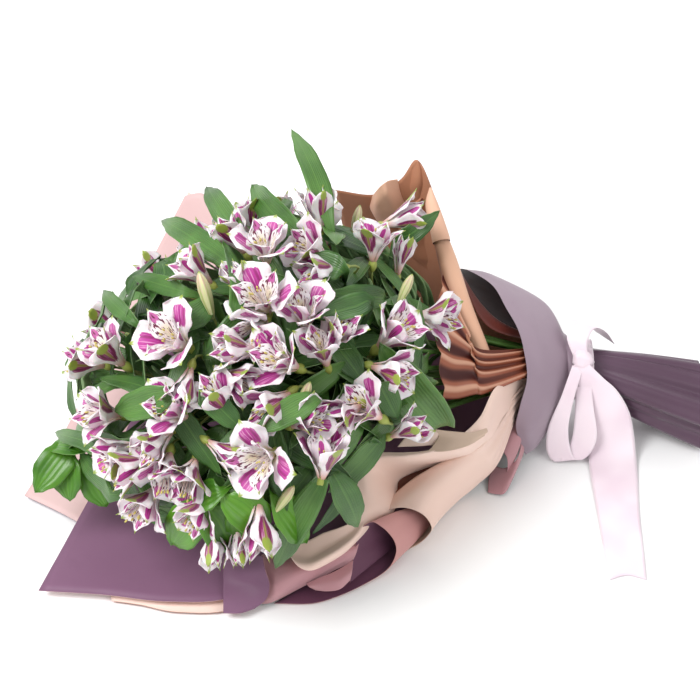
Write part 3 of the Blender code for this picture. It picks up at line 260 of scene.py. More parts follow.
# %% A helper for building finishes
class Finish:
    """A procedural material being built."""

    def __init__(self, name, roughness=0.5, **sockets):
        self.material = bpy.data.materials.new(name)
        self.material.use_nodes = True
        self.tree = self.material.node_tree
        self.shader = self.tree.nodes["Principled BSDF"]
        self.shader.inputs["Roughness"].default_value = roughness
        for socket, value in sockets.items():
            self.shader.inputs[socket.replace("_", " ")].default_value = value

    def node(self, kind, *values, **settings):
        """Add a node, set its properties, and give its inputs values or links in order."""
        made = self.tree.nodes.new("ShaderNode" + kind)
        for key, value in settings.items():
            setattr(made, key, value)
        for number, value in enumerate(values):
            self.feed(made.inputs[number], value)
        return made

    def feed(self, socket, value):
        """Link a node's output to an input, or give the input a plain value."""
        if isinstance(value, bpy.types.NodeSocket):
            self.tree.links.new(value, socket)
        elif value is not None:
            socket.default_value = value

    def sum(self, operation, first, second=0.0):
        """One step of arithmetic."""
        return self.node("Math", first, second, operation=operation).outputs[0]

    def times(self, *values):
        """The product of all the values."""
        product = values[0]
        for value in values[1:]:
            product = self.sum("MULTIPLY", product, value)
        return product

    def step(self, value, low, high):
        """A smooth step from 0 at low to 1 at high; swap them for a falling step."""
        ramp = self.node("MapRange", value, interpolation_type="SMOOTHSTEP")
        ramp.inputs["From Min"].default_value = low
        ramp.inputs["From Max"].default_value = high
        return ramp.outputs["Result"]

    def steps(self, *ramps):
        """The product of smooth steps, each given as (value, low, high)."""
        return self.times(*[self.step(*ramp) for ramp in ramps])

    def mix(self, share, first, second):
        """The first colour where the share is 0, and the second where it is 1."""
        made = self.node("Mix", data_type="RGBA")
        self.feed(made.inputs["Factor"], share)
        self.feed(made.inputs["A"], first if isinstance(first, bpy.types.NodeSocket) else (*first, 1))
        self.feed(made.inputs["B"], second if isinstance(second, bpy.types.NodeSocket) else (*second, 1))
        return made.outputs["Result"]

    def place(self, stretch=(1, 1, 1), on_piece=False):
        """Object coordinates, or the piece's own UV map, stretched."""
        source = self.node("UVMap").outputs[0] if on_piece else self.node("TexCoord").outputs["Object"]
        return self.node("Mapping", source, None, None, stretch).outputs[0]

    def noise(self, where, scale, detail=3.0):
        """Noise from 0 to 1. A larger scale makes it finer."""
        made = self.node("TexNoise", where)
        made.inputs["Scale"].default_value = scale
        made.inputs["Detail"].default_value = detail
        return made.outputs["Fac"]

    def blade(self):
        """Where a point is on a petal or leaf: how far from the midrib, how far along, and plain U."""
        split = self.node("SeparateXYZ", self.node("UVMap").outputs[0])
        centred = self.sum("MULTIPLY_ADD", split.outputs["X"], 2.0)
        centred.node.inputs[2].default_value = -1.0
        return self.sum("ABSOLUTE", centred), split.outputs["Y"], split.outputs["X"]

    def own_tone(self):
        """A number from 0 to 1 that each petal or leaf has to itself, kept in a second UV map."""
        return self.node("SeparateXYZ", self.node("UVMap", uv_map="tone").outputs[0]).outputs["X"]

    def bump(self, height, strength, distance):
        """Let a height change how the surface catches the light."""
        made = self.node("Bump")
        made.inputs["Strength"].default_value = strength
        made.inputs["Distance"].default_value = distance
        self.feed(made.inputs["Height"], height)
        self.feed(self.shader.inputs["Normal"], made.outputs[0])

    def done(self, colour, roughness=None):
        """Feed the colour and the roughness, and give the material back."""
        self.feed(self.shader.inputs["Base Color"], colour)
        self.feed(self.shader.inputs["Roughness"], roughness)
        return self.material


# %% [markdown]
# ### Petals
#
# An alstroemeria bloom has three broad outer petals and three narrower inner ones. This kind is white. Each
# outer petal has a streaked magenta patch in its upper middle and a small green tip, and its back has a
# green midrib between two wine-red bands. The inner petals are cream to yellow in the middle, with wine-red
# dashes. The patches are soft steps in U and V whose edges are broken by noise stretched along the petal,
# as the pigment follows the veins.

# %% Petal finishes
WHITE = (0.82, 0.775, 0.785)
BLUSH = (0.74, 0.42, 0.60)
MAGENTA = (0.43, 0.030, 0.27)
DEEP_MAGENTA = (0.25, 0.012, 0.13)
WINE = (0.115, 0.007, 0.040)
PETAL_GREEN = (0.27, 0.36, 0.05)
OLIVE = (0.30, 0.27, 0.05)
YELLOW = (0.74, 0.66, 0.38)
CREAM = (0.78, 0.70, 0.50)
SALMON = (0.66, 0.36, 0.28)


def petal_base(name):
    """The parts that all petal finishes share: fine ribs, and streaks along the petal."""
    finish = Finish(name, roughness=0.45, Subsurface_Weight=0.10, Subsurface_Scale=0.002)
    finish.shader.inputs["Sheen Weight"].default_value = 0.12
    streaks = finish.noise(finish.place((24, 2.0, 1), on_piece=True), 1.0, 5)
    soft = finish.noise(finish.place((5, 3, 1), on_piece=True), 1.0, 2)
    finish.bump(streaks, 0.45, 0.0008)
    return finish, streaks, soft, finish.own_tone()


def broken(finish, region, streaks, ragged, low, high, tone):
    """A region whose edge is broken along the veins, and which is larger on some petals than on others."""
    share = finish.sum("ADD", region, finish.times(finish.sum("SUBTRACT", streaks, 0.5), ragged))
    share = finish.sum("ADD", share, finish.times(finish.sum("SUBTRACT", tone, 0.55), 0.42))
    return finish.step(share, low, high)


def outer_face():
    """The inside of an outer petal: white, with its magenta patch."""
    finish, streaks, soft, tone = petal_base("petal_outer_face")
    edge, along, _ = finish.blade()
    region = finish.steps((along, 0.30, 0.56), (along, 0.92, 0.78), (edge, 0.72, 0.24))
    colour = finish.mix(finish.step(along, 0.45, 0.05), WHITE, CREAM)
    colour = finish.mix(finish.times(finish.step(soft, 0.45, 0.75), 0.30), colour, BLUSH)
    veins = finish.steps((streaks, 0.56, 0.66), (along, 0.05, 0.35), (edge, 0.9, 0.4))
    colour = finish.mix(finish.times(veins, 0.30), colour, BLUSH)
    pigment = finish.mix(finish.step(streaks, 0.35, 0.6), DEEP_MAGENTA, MAGENTA)
    pigment = finish.mix(finish.times(finish.step(streaks, 0.58, 0.68), 0.6), pigment, BLUSH)
    colour = finish.mix(broken(finish, region, streaks, 1.2, 0.34, 0.60, tone), colour, pigment)
    tip = finish.steps((along, 0.90, 0.97), (edge, 0.22, 0.08))
    return finish.done(finish.mix(tip, colour, PETAL_GREEN))


def outer_back():
    """The back of an outer petal: wine-red bands beside a midrib that turns green at the tip."""
    finish, streaks, soft, tone = petal_base("petal_outer_back")
    edge, along, _ = finish.blade()
    region = finish.steps((along, 0.16, 0.46), (along, 0.97, 0.76), (edge, 0.66, 0.26))
    colour = finish.mix(finish.step(along, 0.40, 0.04), WHITE, SALMON)
    colour = finish.mix(finish.times(finish.step(soft, 0.4, 0.75), 0.4), colour, BLUSH)
    pigment = finish.mix(finish.step(streaks, 0.38, 0.56), WINE, DEEP_MAGENTA)
    pigment = finish.mix(finish.times(finish.step(streaks, 0.56, 0.66), 0.75), pigment, BLUSH)
    colour = finish.mix(broken(finish, region, streaks, 1.5, 0.36, 0.62, tone), colour, pigment)
    midrib = finish.steps((edge, 0.16, 0.04), (along, 0.2, 0.6))
    colour = finish.mix(finish.times(midrib, 0.85), colour, OLIVE)
    tip = finish.steps((along, 0.62, 0.95), (edge, 0.55, 0.10))
    return finish.done(finish.mix(broken(finish, tip, streaks, 0.5, 0.30, 0.55, tone), colour, PETAL_GREEN))


def inner_face():
    """The inside of an inner petal: cream and yellow with wine-red dashes, and a small magenta end."""
    finish, streaks, soft, tone = petal_base("petal_inner_face")
    edge, along, _ = finish.blade()
    warm = finish.steps((along, 0.2, 0.45), (along, 0.72, 0.5), (edge, 0.7, 0.2))
    colour = finish.mix(finish.times(warm, 0.75), WHITE, YELLOW)
    colour = finish.mix(finish.times(finish.step(soft, 0.45, 0.75), 0.25), colour, BLUSH)
    dashes = finish.noise(finish.place((15, 7.5, 1), on_piece=True), 1.0, 1)
    region = finish.steps((along, 0.16, 0.26), (along, 0.94, 0.84), (edge, 0.95, 0.75))
    end = finish.steps((along, 0.66, 0.84), (along, 0.98, 0.90), (edge, 0.5, 0.2))
    end = broken(finish, end, streaks, 1.0, 0.42, 0.66, tone)
    colour = finish.mix(finish.times(end, 0.9), colour, MAGENTA)
    colour = finish.mix(finish.times(finish.step(dashes, 0.555, 0.60), region), colour, WINE)
    tip = finish.steps((along, 0.94, 0.98), (edge, 0.3, 0.1))
    return finish.done(finish.mix(tip, colour, PETAL_GREEN))


def inner_back():
    """The back of an inner petal: white with one magenta stripe."""
    finish, streaks, soft, tone = petal_base("petal_inner_back")
    edge, along, _ = finish.blade()
    region = finish.steps((along, 0.2, 0.55), (along, 0.97, 0.82), (edge, 0.46, 0.12))
    colour = finish.mix(finish.step(along, 0.45, 0.05), WHITE, CREAM)
    colour = finish.mix(finish.times(finish.step(soft, 0.4, 0.75), 0.3), colour, BLUSH)
    pigment = finish.mix(finish.step(streaks, 0.4, 0.6), WINE, MAGENTA)
    colour = finish.mix(broken(finish, region, streaks, 1.2, 0.38, 0.62, tone), colour, pigment)
    tip = finish.steps((along, 0.88, 0.98), (edge, 0.5, 0.2))
    return finish.done(finish.mix(tip, colour, PETAL_GREEN))


PETALS = [outer_face(), outer_back(), inner_face(), inner_back()]
OUTER_FACE, INNER_FACE = 0, 2
print("petal finishes:", [finish.name for finish in PETALS])

# %% [markdown]
# ### Greens
#
# The leaves have parallel veins, a paler midrib and a duller, greyer underside. The buds are pale
# yellow-green with darker ribs and a flush of pink.


# %% Leaf, stalk, bud and stamen finishes
def leaf_finish(name, dark, light, roughness, veins):
    """A leaf's side: veins along it, slow patches of lighter green, and each leaf in its own tone."""
    finish = Finish(name, roughness=roughness, Subsurface_Weight=0.05, Subsurface_Scale=0.001)
    edge, along, across = finish.blade()
    tone = finish.own_tone()
    patches = finish.noise(finish.place(), 26, 2)
    fine = finish.noise(finish.place((30, 1.4, 1), on_piece=True), 1.0, 3)
    rows = finish.sum("SINE", finish.times(across, veins))
    lightness = finish.times(finish.step(patches, 0.32, 0.70), 0.55)
    lightness = finish.sum("ADD", lightness, finish.times(tone, 0.6))
    colour = finish.mix(lightness, dark, light)
    colour = finish.mix(finish.times(finish.step(rows, 0.4, 1.0), 0.22), colour, light)
    colour = finish.mix(finish.times(finish.step(fine, 0.42, 0.7), 0.35), colour, dark)
    colour = finish.mix(finish.times(finish.step(edge, 0.10, 0.02), 0.5), colour, light)
    finish.bump(finish.sum("ADD", finish.times(rows, 0.6), fine), 0.35, 0.0005)
    return finish.done(colour, finish.sum("ADD", finish.times(fine, 0.25), roughness - 0.12))


def stalk_finish(name, dark, light, roughness):
    """A stalk, ovary or stem: green, streaked lengthwise."""
    finish = Finish(name, roughness=roughness)
    streaks = finish.noise(finish.place((9, 1.6, 1), on_piece=True), 1.0, 3)
    patches = finish.noise(finish.place(), 60, 2)
    colour = finish.mix(streaks, dark, light)
    colour = finish.mix(finish.times(finish.step(patches, 0.45, 0.7), 0.4), colour, light)
    finish.bump(streaks, 0.3, 0.0004)
    return finish.done(colour)


def bud_finish():
    """A closed bud: cream green with darker ribs and a pink flush."""
    finish = Finish("bud_skin", roughness=0.45, Subsurface_Weight=0.1, Subsurface_Scale=0.002)
    _, along, across = finish.blade()
    rows = finish.sum("SINE", finish.times(across, math.tau * 6))
    streaks = finish.noise(finish.place((18, 2, 1), on_piece=True), 1.0, 3)
    colour = finish.mix(streaks, (0.50, 0.52, 0.20), (0.72, 0.70, 0.44))
    colour = finish.mix(finish.times(finish.step(rows, 0.3, 0.95), 0.6), colour, (0.26, 0.36, 0.06))
    flush = finish.steps((along, 0.35, 0.7), (streaks, 0.5, 0.66))
    colour = finish.mix(finish.times(flush, 0.5), colour, (0.62, 0.26, 0.34))
    colour = finish.mix(finish.step(along, 0.86, 0.99), colour, (0.26, 0.34, 0.06))
    finish.bump(rows, 0.3, 0.0006)
    return finish.done(colour)


LEAF_TOP = leaf_finish("leaf_top", (0.012, 0.058, 0.008), (0.095, 0.215, 0.042), 0.36, 75)
LEAF_UNDER = leaf_finish("leaf_under", (0.10, 0.20, 0.07), (0.27, 0.40, 0.18), 0.5, 75)
SPRIG_TOP = leaf_finish("greenery_top", (0.020, 0.10, 0.004), (0.10, 0.27, 0.018), 0.33, 40)
SPRIG_UNDER = leaf_finish("greenery_under", (0.12, 0.26, 0.05), (0.24, 0.42, 0.12), 0.5, 40)
STEM_GREEN = stalk_finish("stem_green", (0.05, 0.14, 0.02), (0.13, 0.27, 0.06), 0.5)
OVARY_GREEN = stalk_finish("ovary_green", (0.18, 0.26, 0.03), (0.42, 0.44, 0.10), 0.5)
PEDICEL_GREEN = stalk_finish("pedicel_green", (0.12, 0.22, 0.04), (0.30, 0.30, 0.09), 0.5)
FILAMENT = stalk_finish("filament", (0.80, 0.62, 0.50), (0.86, 0.74, 0.70), 0.5)
ANTHER = stalk_finish("anther", (0.42, 0.36, 0.08), (0.66, 0.56, 0.18), 0.85)
BUD_SKIN = bud_finish()
STALKS = [STEM_GREEN, PEDICEL_GREEN, OVARY_GREEN, FILAMENT, ANTHER, BUD_SKIN]
STEM, PEDICEL, OVARY, FILAMENTS, ANTHERS, BUD = range(6)
print("green finishes:", len(STALKS) + 4)


# %% [markdown]
# ## The wrapping films
#
# A florist's film is a thin, matte, two-tone plastic sheet. One sheet is cream on one side and copper on
# the other, and the other sheet is plum on one side and dusty pink on the other. It could be made with a
# cloth simulation, but a wrapped film keeps the curls it was folded into, so here each part of a sheet is a
# smooth patch through a few placed points. Soft waves and sharp pleats are then added along its normal, and
# a Solidify modifier gives it two faces, each with its own tone.


# %% Film finishes
def film_finish(name, colour, shade, roughness=0.5, gloss=0.3, second=None, along=False, low=0.4, high=0.8):
    """One tone of matte film, with drifts and handling marks. A second tone can take over along or across."""
    finish = Finish(name, roughness=roughness, Sheen_Weight=0.1, Specular_IOR_Level=gloss)
    slow = finish.noise(finish.place(), 9, 2)
    marks = finish.noise(finish.place((1, 1, 2.5)), 55, 4)
    grain = finish.noise(finish.place(), 1400, 2)
    tone = finish.mix(finish.times(finish.step(slow, 0.35, 0.7), 0.6), colour, shade)
    if second:
        _, length, across = finish.blade()
        tone = finish.mix(finish.step(length if along else across, low, high), tone, second)
    tone = finish.mix(finish.times(finish.step(marks, 0.52, 0.75), 0.18), tone, shade)
    height = finish.sum("ADD", marks, finish.times(grain, 0.15))
    finish.bump(height, 0.22, 0.0008)
    return finish.done(tone, finish.sum("ADD", finish.times(marks, 0.14), roughness - 0.07))


FILM_CREAM = film_finish("film_cream_side", (0.82, 0.63, 0.55), (0.76, 0.53, 0.44))
FILM_BEIGE = film_finish("film_beige_side", (0.60, 0.45, 0.35), (0.52, 0.36, 0.27))
# The peach side painted darker, as it looks in shade: the copper wall's face and the backs of its panels
FILM_PEACH_SHADE = film_finish("film_peach_painted_shade", (0.45, 0.20, 0.115), (0.36, 0.15, 0.08))
FILM_PALE_PEACH = film_finish("film_pale_peach", (0.72, 0.43, 0.30), (0.62, 0.33, 0.21))
FILM_COPPER = film_finish("film_copper_side", (0.40, 0.10, 0.035), (0.30, 0.06, 0.020), 0.42, 0.45)
# Terracotta copper, with painted shade darkening its lower end
FILM_PEAK = film_finish(
    "film_terracotta", (0.47, 0.13, 0.065), (0.42, 0.10, 0.05), second=(0.20, 0.035, 0.015), along=True
)
FILM_CURL = film_finish(
    "film_bright_copper", (0.42, 0.085, 0.026), (0.30, 0.045, 0.014), 0.4, 0.5, (0.66, 0.40, 0.29),
    low=0.76, high=0.80,
)
FILM_PANEL = film_finish(
    "film_olive_copper", (0.62, 0.36, 0.25), (0.55, 0.29, 0.18), second=(0.22, 0.10, 0.025), along=True,
    low=0.30, high=0.55,
)
# Pale peach that turns copper-brown across the roll's right side: partly the film's copper, partly painted
# shade
FILM_COLUMN_SHADED = film_finish(
    "film_column_partly_painted_shade", (0.74, 0.44, 0.30), (0.66, 0.35, 0.23), second=(0.30, 0.095, 0.05), low=0.48, high=0.80
)
FILM_VALLEY = film_finish("film_valley", (0.33, 0.125, 0.08), (0.20, 0.05, 0.03))
# Near-black wine: painted shade on the back of the copper wall and inside the rolled columns
FILM_WINE_SHADE = film_finish("film_wine_painted_shade", (0.12, 0.018, 0.010), (0.08, 0.012, 0.008))
FILM_PLUM = film_finish("film_plum_side", (0.20, 0.095, 0.165), (0.155, 0.07, 0.125))
# The plum side painted darker for shade: inside the scroll and on the hem's tongue
FILM_PLUM_SHADE = film_finish("film_plum_painted_shade", (0.13, 0.045, 0.085), (0.09, 0.028, 0.055))
FILM_PINK = film_finish("film_pink_side", (0.68, 0.48, 0.47), (0.60, 0.39, 0.39))
FILM_ROSE = film_finish("film_rose_side", (0.50, 0.27, 0.29), (0.42, 0.20, 0.23))
FILM_SALMON = film_finish("film_salmon_side", (0.62, 0.32, 0.29), (0.50, 0.23, 0.23))
FILM_MAUVE = film_finish("film_mauve_side", (0.33, 0.255, 0.305), (0.27, 0.195, 0.245), 0.45, 0.4)
# The plum side painted much darker for shade: the skirt past the tie and the back of the hem's leaf
FILM_PLUM_DARK_SHADE = film_finish("film_plum_painted_dark_shade", (0.095, 0.048, 0.082), (0.060, 0.028, 0.050), 0.36, 0.5)
# Near black: painted shade inside the collar and inside the hem roll
FILM_BLACK_SHADE = film_finish("film_black_painted_shade", (0.040, 0.012, 0.022), (0.020, 0.005, 0.010), 0.45, 0.3)
print("film finishes, from", FILM_CREAM.name, "to", FILM_BLACK_SHADE.name)

# %% [markdown]
# ### Film as a surface
#
# A film could be a flat sheet that a simulation drapes. Here it is a grid of places instead, which can be
# waved, measured and turned before it becomes a mesh. The end of a film that the tie holds follows the
# round neck, whose bundle of stems widens faster at the top and the sides than below.


# %% Surfaces for films
FILM_THICKNESS = 0.35
NECK_PLACES = (232, 258, 279)
# How fast the bundle widens from the tie: everywhere, then more at the top, the near side and both sides
SPREAD_ROUND = 0.24
SPREAD_TOP = 0.12
SPREAD_NEAR = 0.06
SPREAD_SIDES = 0.12


def waved(grid, rule):
    """Shift each point of a grid along the surface's normal by rule(across, along), in millimetres."""
    rows = len(grid)
    columns = len(grid[0])
    moved = []
    for i in range(rows):
        row = []
        for j in range(columns):
            over = grid[i][min(j + 1, columns - 1)] - grid[i][max(j - 1, 0)]
            down = grid[min(i + 1, rows - 1)][j] - grid[max(i - 1, 0)][j]
            row.append(grid[i][j] + over.cross(down).normalized() * rule(j / (columns - 1), i / (rows - 1)))
        moved.append(row)
    return moved


def surface(bm, grid, turned=False):
    """Add a patch through every point of a grid. Turned, its other side is the front."""
    rows = len(grid) - 1
    columns = len(grid[0]) - 1

    def place(across, along):
        j = round(across * columns)
        return grid[round(along * rows)][columns - j if turned else j]

    patch(bm, columns, rows, place)


def sizes(grid):
    """A grid's full width, mean length and area, in millimetres."""
    widths = [sum((b - a).length for a, b in zip(row, row[1:])) for row in grid]
    lengths = [sum((b - a).length for a, b in zip(line, line[1:])) for line in zip(*grid)]
    area = 0.0
    for upper, lower in zip(grid, grid[1:]):
        for a, b, c, d in zip(upper, upper[1:], lower, lower[1:]):
            area += ((b - a).cross(c - a).length + (b - d).cross(c - d).length) / 2
    return max(widths), sum(lengths) / len(lengths), area


def film_piece(name, grid, front, back, node, slot, held, rests_on, turned=False):
    """A film as one piece: its surface, its two tones and the size that it was cut to."""
    bm = bmesh.new()
    surface(bm, grid, turned)
    piece = make_piece(name, bm, [front, back], [node], slot, FILM_THICKNESS)
    width, length, area = sizes(grid)
    area = min(area, width * length)
    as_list(rests_on)
    print(name, "was cut to", round(width), "x", round(length), "mm, area", round(area / 100), "cm2")


def neck_point(x, angle, radius):
    """A place on a circle about the neck. The angle runs from the top towards the near side."""
    share = max(0, (x - NECK.x) / (TAIL_END.x - NECK.x))
    turn = math.radians(angle)
    centre = NECK.lerp(TAIL_END, share)
    return Vector((x, centre.y - radius * math.sin(turn), centre.z + radius * math.cos(turn)))


def neck_spread(angle):
    """How fast the bundle of stems widens from the tie towards the head, by the direction about the neck."""
    turn = math.radians(angle)
    across = math.sin(turn)
    return SPREAD_ROUND + SPREAD_TOP * math.cos(turn) + SPREAD_NEAR * across + SPREAD_SIDES * abs(across)


def neck_row(x, radius, angles):
    """Places round the neck, for the gathered end of a film."""
    before = max(0, NECK.x - x)
    return [neck_point(x, angle, radius + before * neck_spread(angle)) for angle in angles]


def seen_net(rows):
    """World places for rows of (across, up, height)."""
    return [[seen(*place) for place in row] for row in rows]


def pleats(count, depth, start):
    """Pleats that deepen towards the gathered end of a film."""
    return lambda across, along: depth * math.sin(math.tau * count * across) * eased(along, start, 1)


print("the neck is", round((TAIL_END - NECK).length), "mm from the cut ends")

# %% [markdown]
# ### The sheets that the bouquet lies on
#
# Three sheets lie fanned out under the head, the cream one lowest, then the dusty pink, then the plum. They
# are laid out in plan, they climb behind the head, and their last rows are gathered into the neck. All
# three follow the same soft swells, so that they never cut through each other.

# %% Base sheets
CREAM_BASE = (
    ((-126, -134), (-152, -20), (-158, 70), (-142, 160), (-117, 250), (-89, 324)),
    ((-90, -140), (-100, -30), (-100, 60), (-90, 150), (-72, 230), (-62, 305)),
    ((-30, -146), (-20, -50), (0, 40), (10, 130), (10, 205), (-19, 262)),
    ((60, -84), (80, -36), (98, 30), (110, 108), (116, 172), (60, 236)),
    ((146, -30), (163, 6), (176, 45), (182, 88), (188, 132), (176, 176)),
    ((226, 52), (232, 66), (238, 82), (240, 98), (240, 114), (236, 132)),
)
PINK_BASE = (
    ((-217, -15), (-196, 50), (-177, 112), (-155, 180), (-122, 255), (-92, 318)),
    ((-164, -46), (-140, 30), (-120, 100), (-95, 175), (-78, 240), (-66, 318)),
    ((-70, -96), (-50, -20), (-30, 60), (-12, 140), (0, 205), (-34, 285)),
    ((60, -82), (80, -34), (98, 30), (110, 107), (114, 168), (62, 228)),
    ((146, -28), (163, 7), (176, 45), (182, 87), (188, 129), (176, 170)),
    ((226, 54), (232, 67), (238, 82), (240, 97), (240, 112), (236, 128)),
)
PLUM_BASE = (
    ((-188, -128), (-160, -30), (-142, 30), (-118, 115), (-80, 205), (-32, 291)),
    ((-110, -134), (-90, -40), (-70, 35), (-45, 120), (-22, 195), (2, 270)),
    ((-34, -139), (-10, -50), (10, 30), (30, 115), (50, 175), (52, 236)),
    ((60, -80), (80, -32), (98, 30), (111, 105), (118, 160), (104, 206)),
    ((146, -26), (163, 8), (176, 45), (182, 86), (188, 126), (176, 164)),
    ((226, 56), (232, 68), (238, 82), (240, 96), (240, 110), (236, 124)),
)
BASE_SHEETS = (
    ("cream_base_sheet", CREAM_BASE, FILM_CREAM, FILM_COPPER, "film_cream"),
    ("pink_base_sheet", PINK_BASE, FILM_PINK, FILM_PLUM, "film_pink"),
    ("plum_base_sheet", PLUM_BASE, FILM_PLUM, FILM_PINK, "film_plum"),
)
BASE_ROWS = 61
BASE_COLUMNS = 57
BASE_LIFT = 0.4
FILM_LAYER = 3
# The climb behind the head, and the one towards the tie
BACK_CLIMB_FROM = 40
BACK_CLIMB_REACH = 286
BACK_CLIMB_HEIGHT = 90
BACK_CLIMB_POWER = 1.8
TIE_CLIMB_FROM = 200
TIE_CLIMB_REACH = 45
TIE_CLIMB_HEIGHT = 14
# The arc that the sheets fill at the neck, in degrees, and how much smaller each layer's is
BASE_NECK_START = 112
BASE_NECK_SWEEP = 136
BASE_NECK = 23.8
NECK_LAYER = 1.6
SWELL_HEIGHT = 2.2
SWELL_LENGTH = 95
SWELL_ENDS = (150, 230)


def swell(x, y):
    """The soft swells that all the base sheets share, in millimetres."""
    return SWELL_HEIGHT * (1 + noise.noise(Vector((x / SWELL_LENGTH, y / SWELL_LENGTH, 3.1))))


def base_grid(rows, layer):
    """A base sheet: plan positions that lie flat and climb behind the head, then the gathered neck."""
    plan = smooth_grid([[(x, y, 0) for x, y in row] for row in rows], 8, BASE_COLUMNS)
    for line in plan:
        for place in line:
            back = max(0, place.y - BACK_CLIMB_FROM) / BACK_CLIMB_REACH
            tie = max(0, (place.x - TIE_CLIMB_FROM) / TIE_CLIMB_REACH)
            climb = BACK_CLIMB_HEIGHT * back**BACK_CLIMB_POWER + TIE_CLIMB_HEIGHT * tie**2
            flat = 1 - eased(place.x, *SWELL_ENDS)
            place.z = BASE_LIFT + FILM_LAYER * layer + climb + swell(place.x, place.y) * flat
    last = BASE_COLUMNS - 1
    angles = [BASE_NECK_START + BASE_NECK_SWEEP * k / last for k in range(BASE_COLUMNS)]
    gathered = [neck_row(x, BASE_NECK - NECK_LAYER * layer, angles) for x in NECK_PLACES[1:]]
    columns = [smooth_line(list(column), BASE_ROWS) for column in zip(*plan, *gathered)]
    return waved([list(row) for row in zip(*columns)], pleats(7, 1.1, 0.8))


for layer, (name, rows, front, back, slot) in enumerate(BASE_SHEETS):
    node = "wrap_" + name.replace("_sheet", "")
    film_piece(name, base_grid(rows, layer), front, back, node, slot, "laid", [], turned=True)

# %% [markdown]
# ### The copper films behind the stems
#
# The far side of the cream and copper sheet stands up as a wall behind the flowers, with its copper side
# towards them. Its rim curls over in two places, where the pale side shows. A second fold of it runs in
# pleats beside the stems.

# %% Copper wall: panels, curl, peak and rolled column
COPPER_WALL = (
    ((61, 221, 170), (66, 232, 130), (72, 238, 95), (80, 236, 60)),
    ((98, 214, 170), (104, 222, 130), (110, 222, 92), (118, 216, 56)),
    ((122, 216, 186), (130, 214, 138), (138, 206, 94), (146, 196, 48)),
    ((137, 220, 205), (148, 204, 146), (158, 188, 94), (168, 172, 36)),
    ((152, 196, 184), (168, 182, 134), (180, 168, 86), (190, 154, 28)),
    ((164, 154, 160), (180, 147, 122), (192, 141, 80), (200, 134, 28)),
    ((180, 116, 136), (200, 122, 106), (210, 128, 72), (216, 124, 32)),
    ((202, 88, 114), (222, 108, 98), (231, 124, 66), (236, 122, 40)),
)
COPPER_NECK = (-8, -50, -90, -130)
COPPER_NECK_RADIUS = 16.4
# Rows of places, across and up as seen and high above the table, for the panels in front of the wall
COPPER_CURL = (
    ((19, 137, 159), (22, 142, 177), (27, 148, 188), (32, 152, 192), (36, 154, 190), (43, 155, 187)),
    ((18, 130, 152), (23, 133, 168), (29, 139, 178), (34, 142, 182), (40, 144, 178), (46, 142, 171)),
    ((21, 123, 148), (26, 126, 158), (33, 131, 166), (38, 133, 168), (44, 135, 166), (49, 135, 162)),
    ((27, 114, 137), (33, 117, 144), (38, 121, 150), (43, 123, 152), (47, 125, 152), (52, 128, 153)),
)
COPPER_PEAK = (
    ((60, 171, 205), (61, 172, 206), (62, 171, 205)),
    ((55, 160, 190), (62, 162, 196), (67, 162, 194)),
    ((51, 149, 176), (62, 151, 184), (72, 152, 181)),
    ((48, 140, 164), (62, 141, 171), (74, 143, 169)),
    ((50, 131, 152), (61, 131, 158), (73, 133, 159)),
    ((54, 118, 137), (61, 118, 141), (69, 122, 145)),
)
COPPER_PANEL = (
    ((64, 138, 170), (65, 138, 171), (66, 138, 170)),
    ((53, 130, 160), (61, 132, 165), (68, 132, 162)),
    ((44, 123, 151), (58, 123, 156), (71, 123, 152)),
    ((44, 111, 135), (59, 110, 138), (74, 111, 137)),
    ((47, 97, 119), (62, 96, 120), (77, 97, 121)),
    ((56, 85, 106), (68, 83, 106), (80, 84, 108)),
    ((69, 74, 95), (76, 73, 95), (83, 72, 95)),
    ((82, 62, 86), (84, 59, 84), (87, 58, 83)),
)
# Middle lines of the rolled column at the wall's edge, with their radii, and the arc that it fills in
# degrees
COLUMN_TOP = ((73, 147, 188), (74, 133, 181), (78, 118, 174), (82, 103, 167), (83, 98, 164))
COLUMN_TOP_RADII = (1.0, 5.5, 7.0, 8.0, 8.0)
COLUMN = (
    (82, 102, 163), (88, 83, 153), (93, 65, 143), (99, 45, 131),
    (107, 25, 118), (116, 5, 105), (125, -15, 94),
)
COLUMN_RADII = (6.8, 8.2, 9.2, 9.6, 9.0, 8.0, 6.0)
ROLL_START = -75
ROLL_SWEEP = 290
ROLL_COLUMNS = 41


def rolled(middle, radii, rows):
    """A rolled strip: part of a tapering tube about a middle line."""
    line = smooth_line([seen(*place) for place in middle], rows)
    spans = smooth_line([Vector((radius, 0, 0)) for radius in radii], rows)
    last = ROLL_COLUMNS - 1
    turns = [math.radians(ROLL_START + ROLL_SWEEP * step / last) for step in range(ROLL_COLUMNS)]
    grid = []
    for k, place in enumerate(line):
        way = (line[min(k + 1, rows - 1)] - line[max(k - 1, 0)]).normalized()
        level = way.cross(UP).normalized()
        over = level.cross(way)
        grid.append([place + spans[k].x * (math.cos(turn) * level + math.sin(turn) * over) for turn in turns])
    return grid


def copper_film(name, grid, front, back, held="folded", turned=False):
    """A film that belongs to the far copper wall."""
    film_piece(name, grid, front, back, "wrap_copper_far", "film_copper", held, ["plum_base_sheet"], turned)


wall = [[Vector(place) for place in row] for row in COPPER_WALL]
wall += [neck_row(x, COPPER_NECK_RADIUS, COPPER_NECK) for x in NECK_PLACES[1:]]
wall_grid = waved(smooth_grid(wall, 81, 33), pleats(3, 1.6, 0.5))
